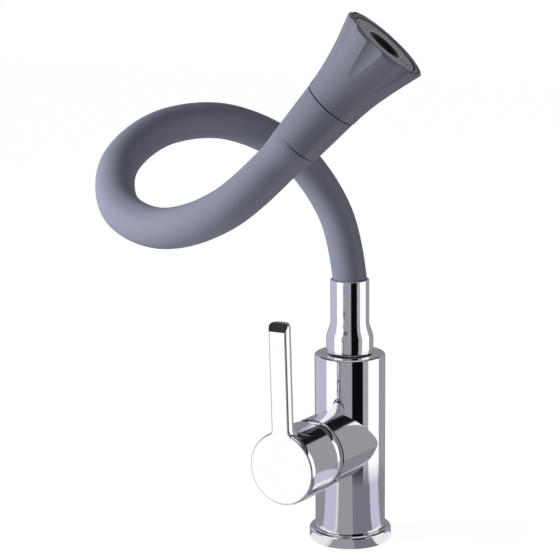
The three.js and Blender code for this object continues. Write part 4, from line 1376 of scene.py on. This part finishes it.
# The soft light from below and from above, which the matt finishes show
SOFT_BELOW, SOFT_ABOVE = (0.46, 0.46, 0.48), (0.42, 0.42, 0.44)

# The floor: its painted pool of light by the base in the chrome, its glow to the camera,
# and what takes shadow
PAINTED_BASE_LIGHT, FLOOR_GLOW, FLOOR_SHADOW = (0.95, 0.95, 0.96), (0.93, 0.93, 0.93), (0.15, 0.15, 0.15)
FLOOR_DROP = 0.00005    # how far it lies under the base
FLOOR_FADE = 0.15       # share of its radius over which the chrome loses sight of it

# Where the soft lamp aims, and how far it stands right, up and near, seen from the camera
LAMP_AIM, LAMP_SIDE = Vector((0, -0.1, 0.25)), Vector((-0.92, 0.22, 0.2))


class TAP_OT_studio(Operator):
    """Camera, floor and the light of the studio"""
    bl_idname = "tap.studio"
    bl_label = "Studio"

    def execute(self, context):
        sizes = context.scene.tap_studio
        self.add_camera(context.scene, sizes)
        self.add_floor(sizes)
        self.light_world(context.scene, sizes)
        self.add_lamp(sizes)
        context.scene.view_settings.view_transform = "Standard"
        return {"FINISHED"}

    def add_camera(self, scene, sizes):
        turn = camera_turn() @ Matrix.Rotation(sizes.roll, 3, "Z")
        back = camera_turn() @ UP
        bpy.ops.object.camera_add(
            location=UP * sizes.target + back * sizes.distance, rotation=turn.to_euler())
        camera = bpy.context.object
        camera.data.lens = sizes.lens
        camera.data.sensor_width = 36
        camera.data.shift_x = sizes.shift_x
        camera.data.shift_y = sizes.shift_y
        camera.data.clip_start = 0.01
        scene.camera = camera

    def add_lamp(self, sizes):
        """A soft lamp at the left, which only the matt finishes show."""
        away = camera_turn() @ LAMP_SIDE.normalized()
        bpy.ops.object.light_add(
            type="AREA", location=LAMP_AIM + away * sizes.lamp_distance,
            rotation=away.to_track_quat("Z", "Y").to_euler())
        lamp = bpy.context.object
        lamp.name = "soft_lamp"
        lamp.data.size = sizes.lamp_size
        lamp.data.energy = sizes.lamp_power
        lamp.visible_glossy = False

    def add_floor(self, sizes):
        """A floor that glows pale to the camera, and has painted light and shade where the chrome
        mirrors it.
        """
        deselect()
        bpy.ops.mesh.primitive_plane_add(size=sizes.floor_size, location=(0, 0, -FLOOR_DROP))
        floor = bpy.context.object
        floor.name = "studio_floor"
        settle(floor, floor.matrix_world.copy())
        floor_colour = bpy.context.scene.tap_colours.floor
        finish = bpy.data.materials.new("studio_floor")
        finish.use_nodes = True
        graph = Graph(finish.node_tree)
        rays = graph.add("ShaderNodeLightPath")
        x, y, _ = graph.axes(graph.place())
        distance = graph.maths("SQRT", x * x + y * y)
        # A painted pool of light by the base, on the sides where the strips would light the floor
        painted_light_sides = Signal(graph, self.bands(graph, x, y, sizes, PAINTED_BASE_LIGHT_BANDS))
        painted_base_light_mask = (sizes.painted_base_light_radius - distance).rise(0, MM) * painted_light_sides
        # Painted light and shade on the floor near the tap, which glows only for glossy rays
        bands = self.bands(graph, x, y, sizes, PAINTED_FLOOR_LIGHT_BANDS)
        far = distance.rise(
            sizes.painted_floor_light_radius * (1 - FLOOR_FADE), sizes.painted_floor_light_radius * (1 + FLOOR_FADE))
        glow = graph.glow(graph.blend(painted_base_light_mask, bands, rgba(PAINTED_BASE_LIGHT)))
        painted_light_for_chrome = graph.choice(far, glow, graph.node("ShaderNodeBsdfTransparent"))
        other = graph.choice(
            rays.outputs["Is Glossy Ray"], graph.matt(rgba(floor_colour)), painted_light_for_chrome)
        seen = graph.node("ShaderNodeAddShader", {}, {
            0: graph.glow(rgba(FLOOR_GLOW)), 1: graph.matt(rgba(FLOOR_SHADOW))})
        mixed = graph.choice(rays.outputs["Is Camera Ray"], other, seen)
        graph.add("ShaderNodeOutputMaterial", {}, {"Surface": mixed})
        dress(floor, finish)

    def light_world(self, scene, sizes):
        """White to the camera, and soft light with strips and dark cards for the chrome."""
        world = bpy.data.worlds.new("studio_light")
        world.use_nodes = True
        scene.world = world
        graph = Graph(world.node_tree)
        rays = graph.add("ShaderNodeLightPath")
        x, y, z = graph.axes(graph.node("ShaderNodeTexCoord", output="Generated"))
        room = self.bands(graph, x, y, sizes, WORLD_BANDS)
        for low, high, shade in ABOVE_STRIPS:
            higher = z.rise(math.sin(math.radians(low)), math.sin(math.radians(high)))
            room = graph.blend(higher, room, rgba(shade))
        soft = graph.blend(z.rise(-1.0, 1.0), rgba(SOFT_BELOW), rgba(SOFT_ABOVE))
        light = graph.blend(rays.outputs["Is Glossy Ray"], soft, room)
        shown = graph.maths(
            "MAXIMUM", rays.outputs["Is Camera Ray"], rays.outputs["Is Transmission Ray"])
        white = graph.blend(shown, light, (1, 1, 1, 1))
        background = graph.node("ShaderNodeBackground", {}, {"Color": white, "Strength": 1.0})
        graph.add("ShaderNodeOutputWorld", {}, {"Surface": background})

    def bands(self, graph, x, y, sizes, rows):
        """Upright bands round the horizon. Each row holds two angles and the shade between them."""
        degrees = graph.maths("ARCTAN2", x, 0 - y) * math.degrees(1)
        # From 0 to 1 once round, with the camera's side at a half
        place = (degrees - math.degrees(sizes.azimuth) + 540) % 360.0 / 360
        stops = []
        for start, end, shade in rows:
            stops.append(((start + 180 + BAND_EDGE) / 360, shade))
            stops.append(((end + 180 - BAND_EDGE) / 360, shade))
        return graph.node("ShaderNodeValToRGB", {"stops": stops}, {0: place})


class TAP_PT_parts(Panel):
    """Lists the tap's pieces in the sidebar"""
    bl_label = "Mixer Tap"
    bl_idname = "TAP_PT_parts"
    bl_space_type = "VIEW_3D"
    bl_region_type = "UI"
    bl_category = "Mixer Tap"

    def draw(self, context):
        for step in STEPS:
            self.layout.operator(step.bl_idname)
        for name, group in GROUPS.items():
            box = self.layout.box()
            for field in group.__annotations__:
                box.prop(getattr(context.scene, name), field)


STEPS = [
    TAP_OT_studio, TAP_OT_cad_finishes, TAP_OT_body, TAP_OT_base_ring, TAP_OT_trim_ring,
    TAP_OT_handle, TAP_OT_ferrule, TAP_OT_gooseneck, TAP_OT_collar, TAP_OT_spray_head,
    TAP_OT_spray_face,
]


def register():
    for each in (*GROUPS.values(), *STEPS, TAP_PT_parts):
        bpy.utils.register_class(each)
    for name, group in GROUPS.items():
        setattr(bpy.types.Scene, name, PointerProperty(type=group))


def unregister():
    for name in GROUPS:
        delattr(bpy.types.Scene, name)
    for each in (*GROUPS.values(), *STEPS, TAP_PT_parts):
        bpy.utils.unregister_class(each)


def main():
    register()
    for step in STEPS:
        group, name = step.bl_idname.split(".")
        getattr(getattr(bpy.ops, group), name)()


if __name__ == "__main__":
    main()
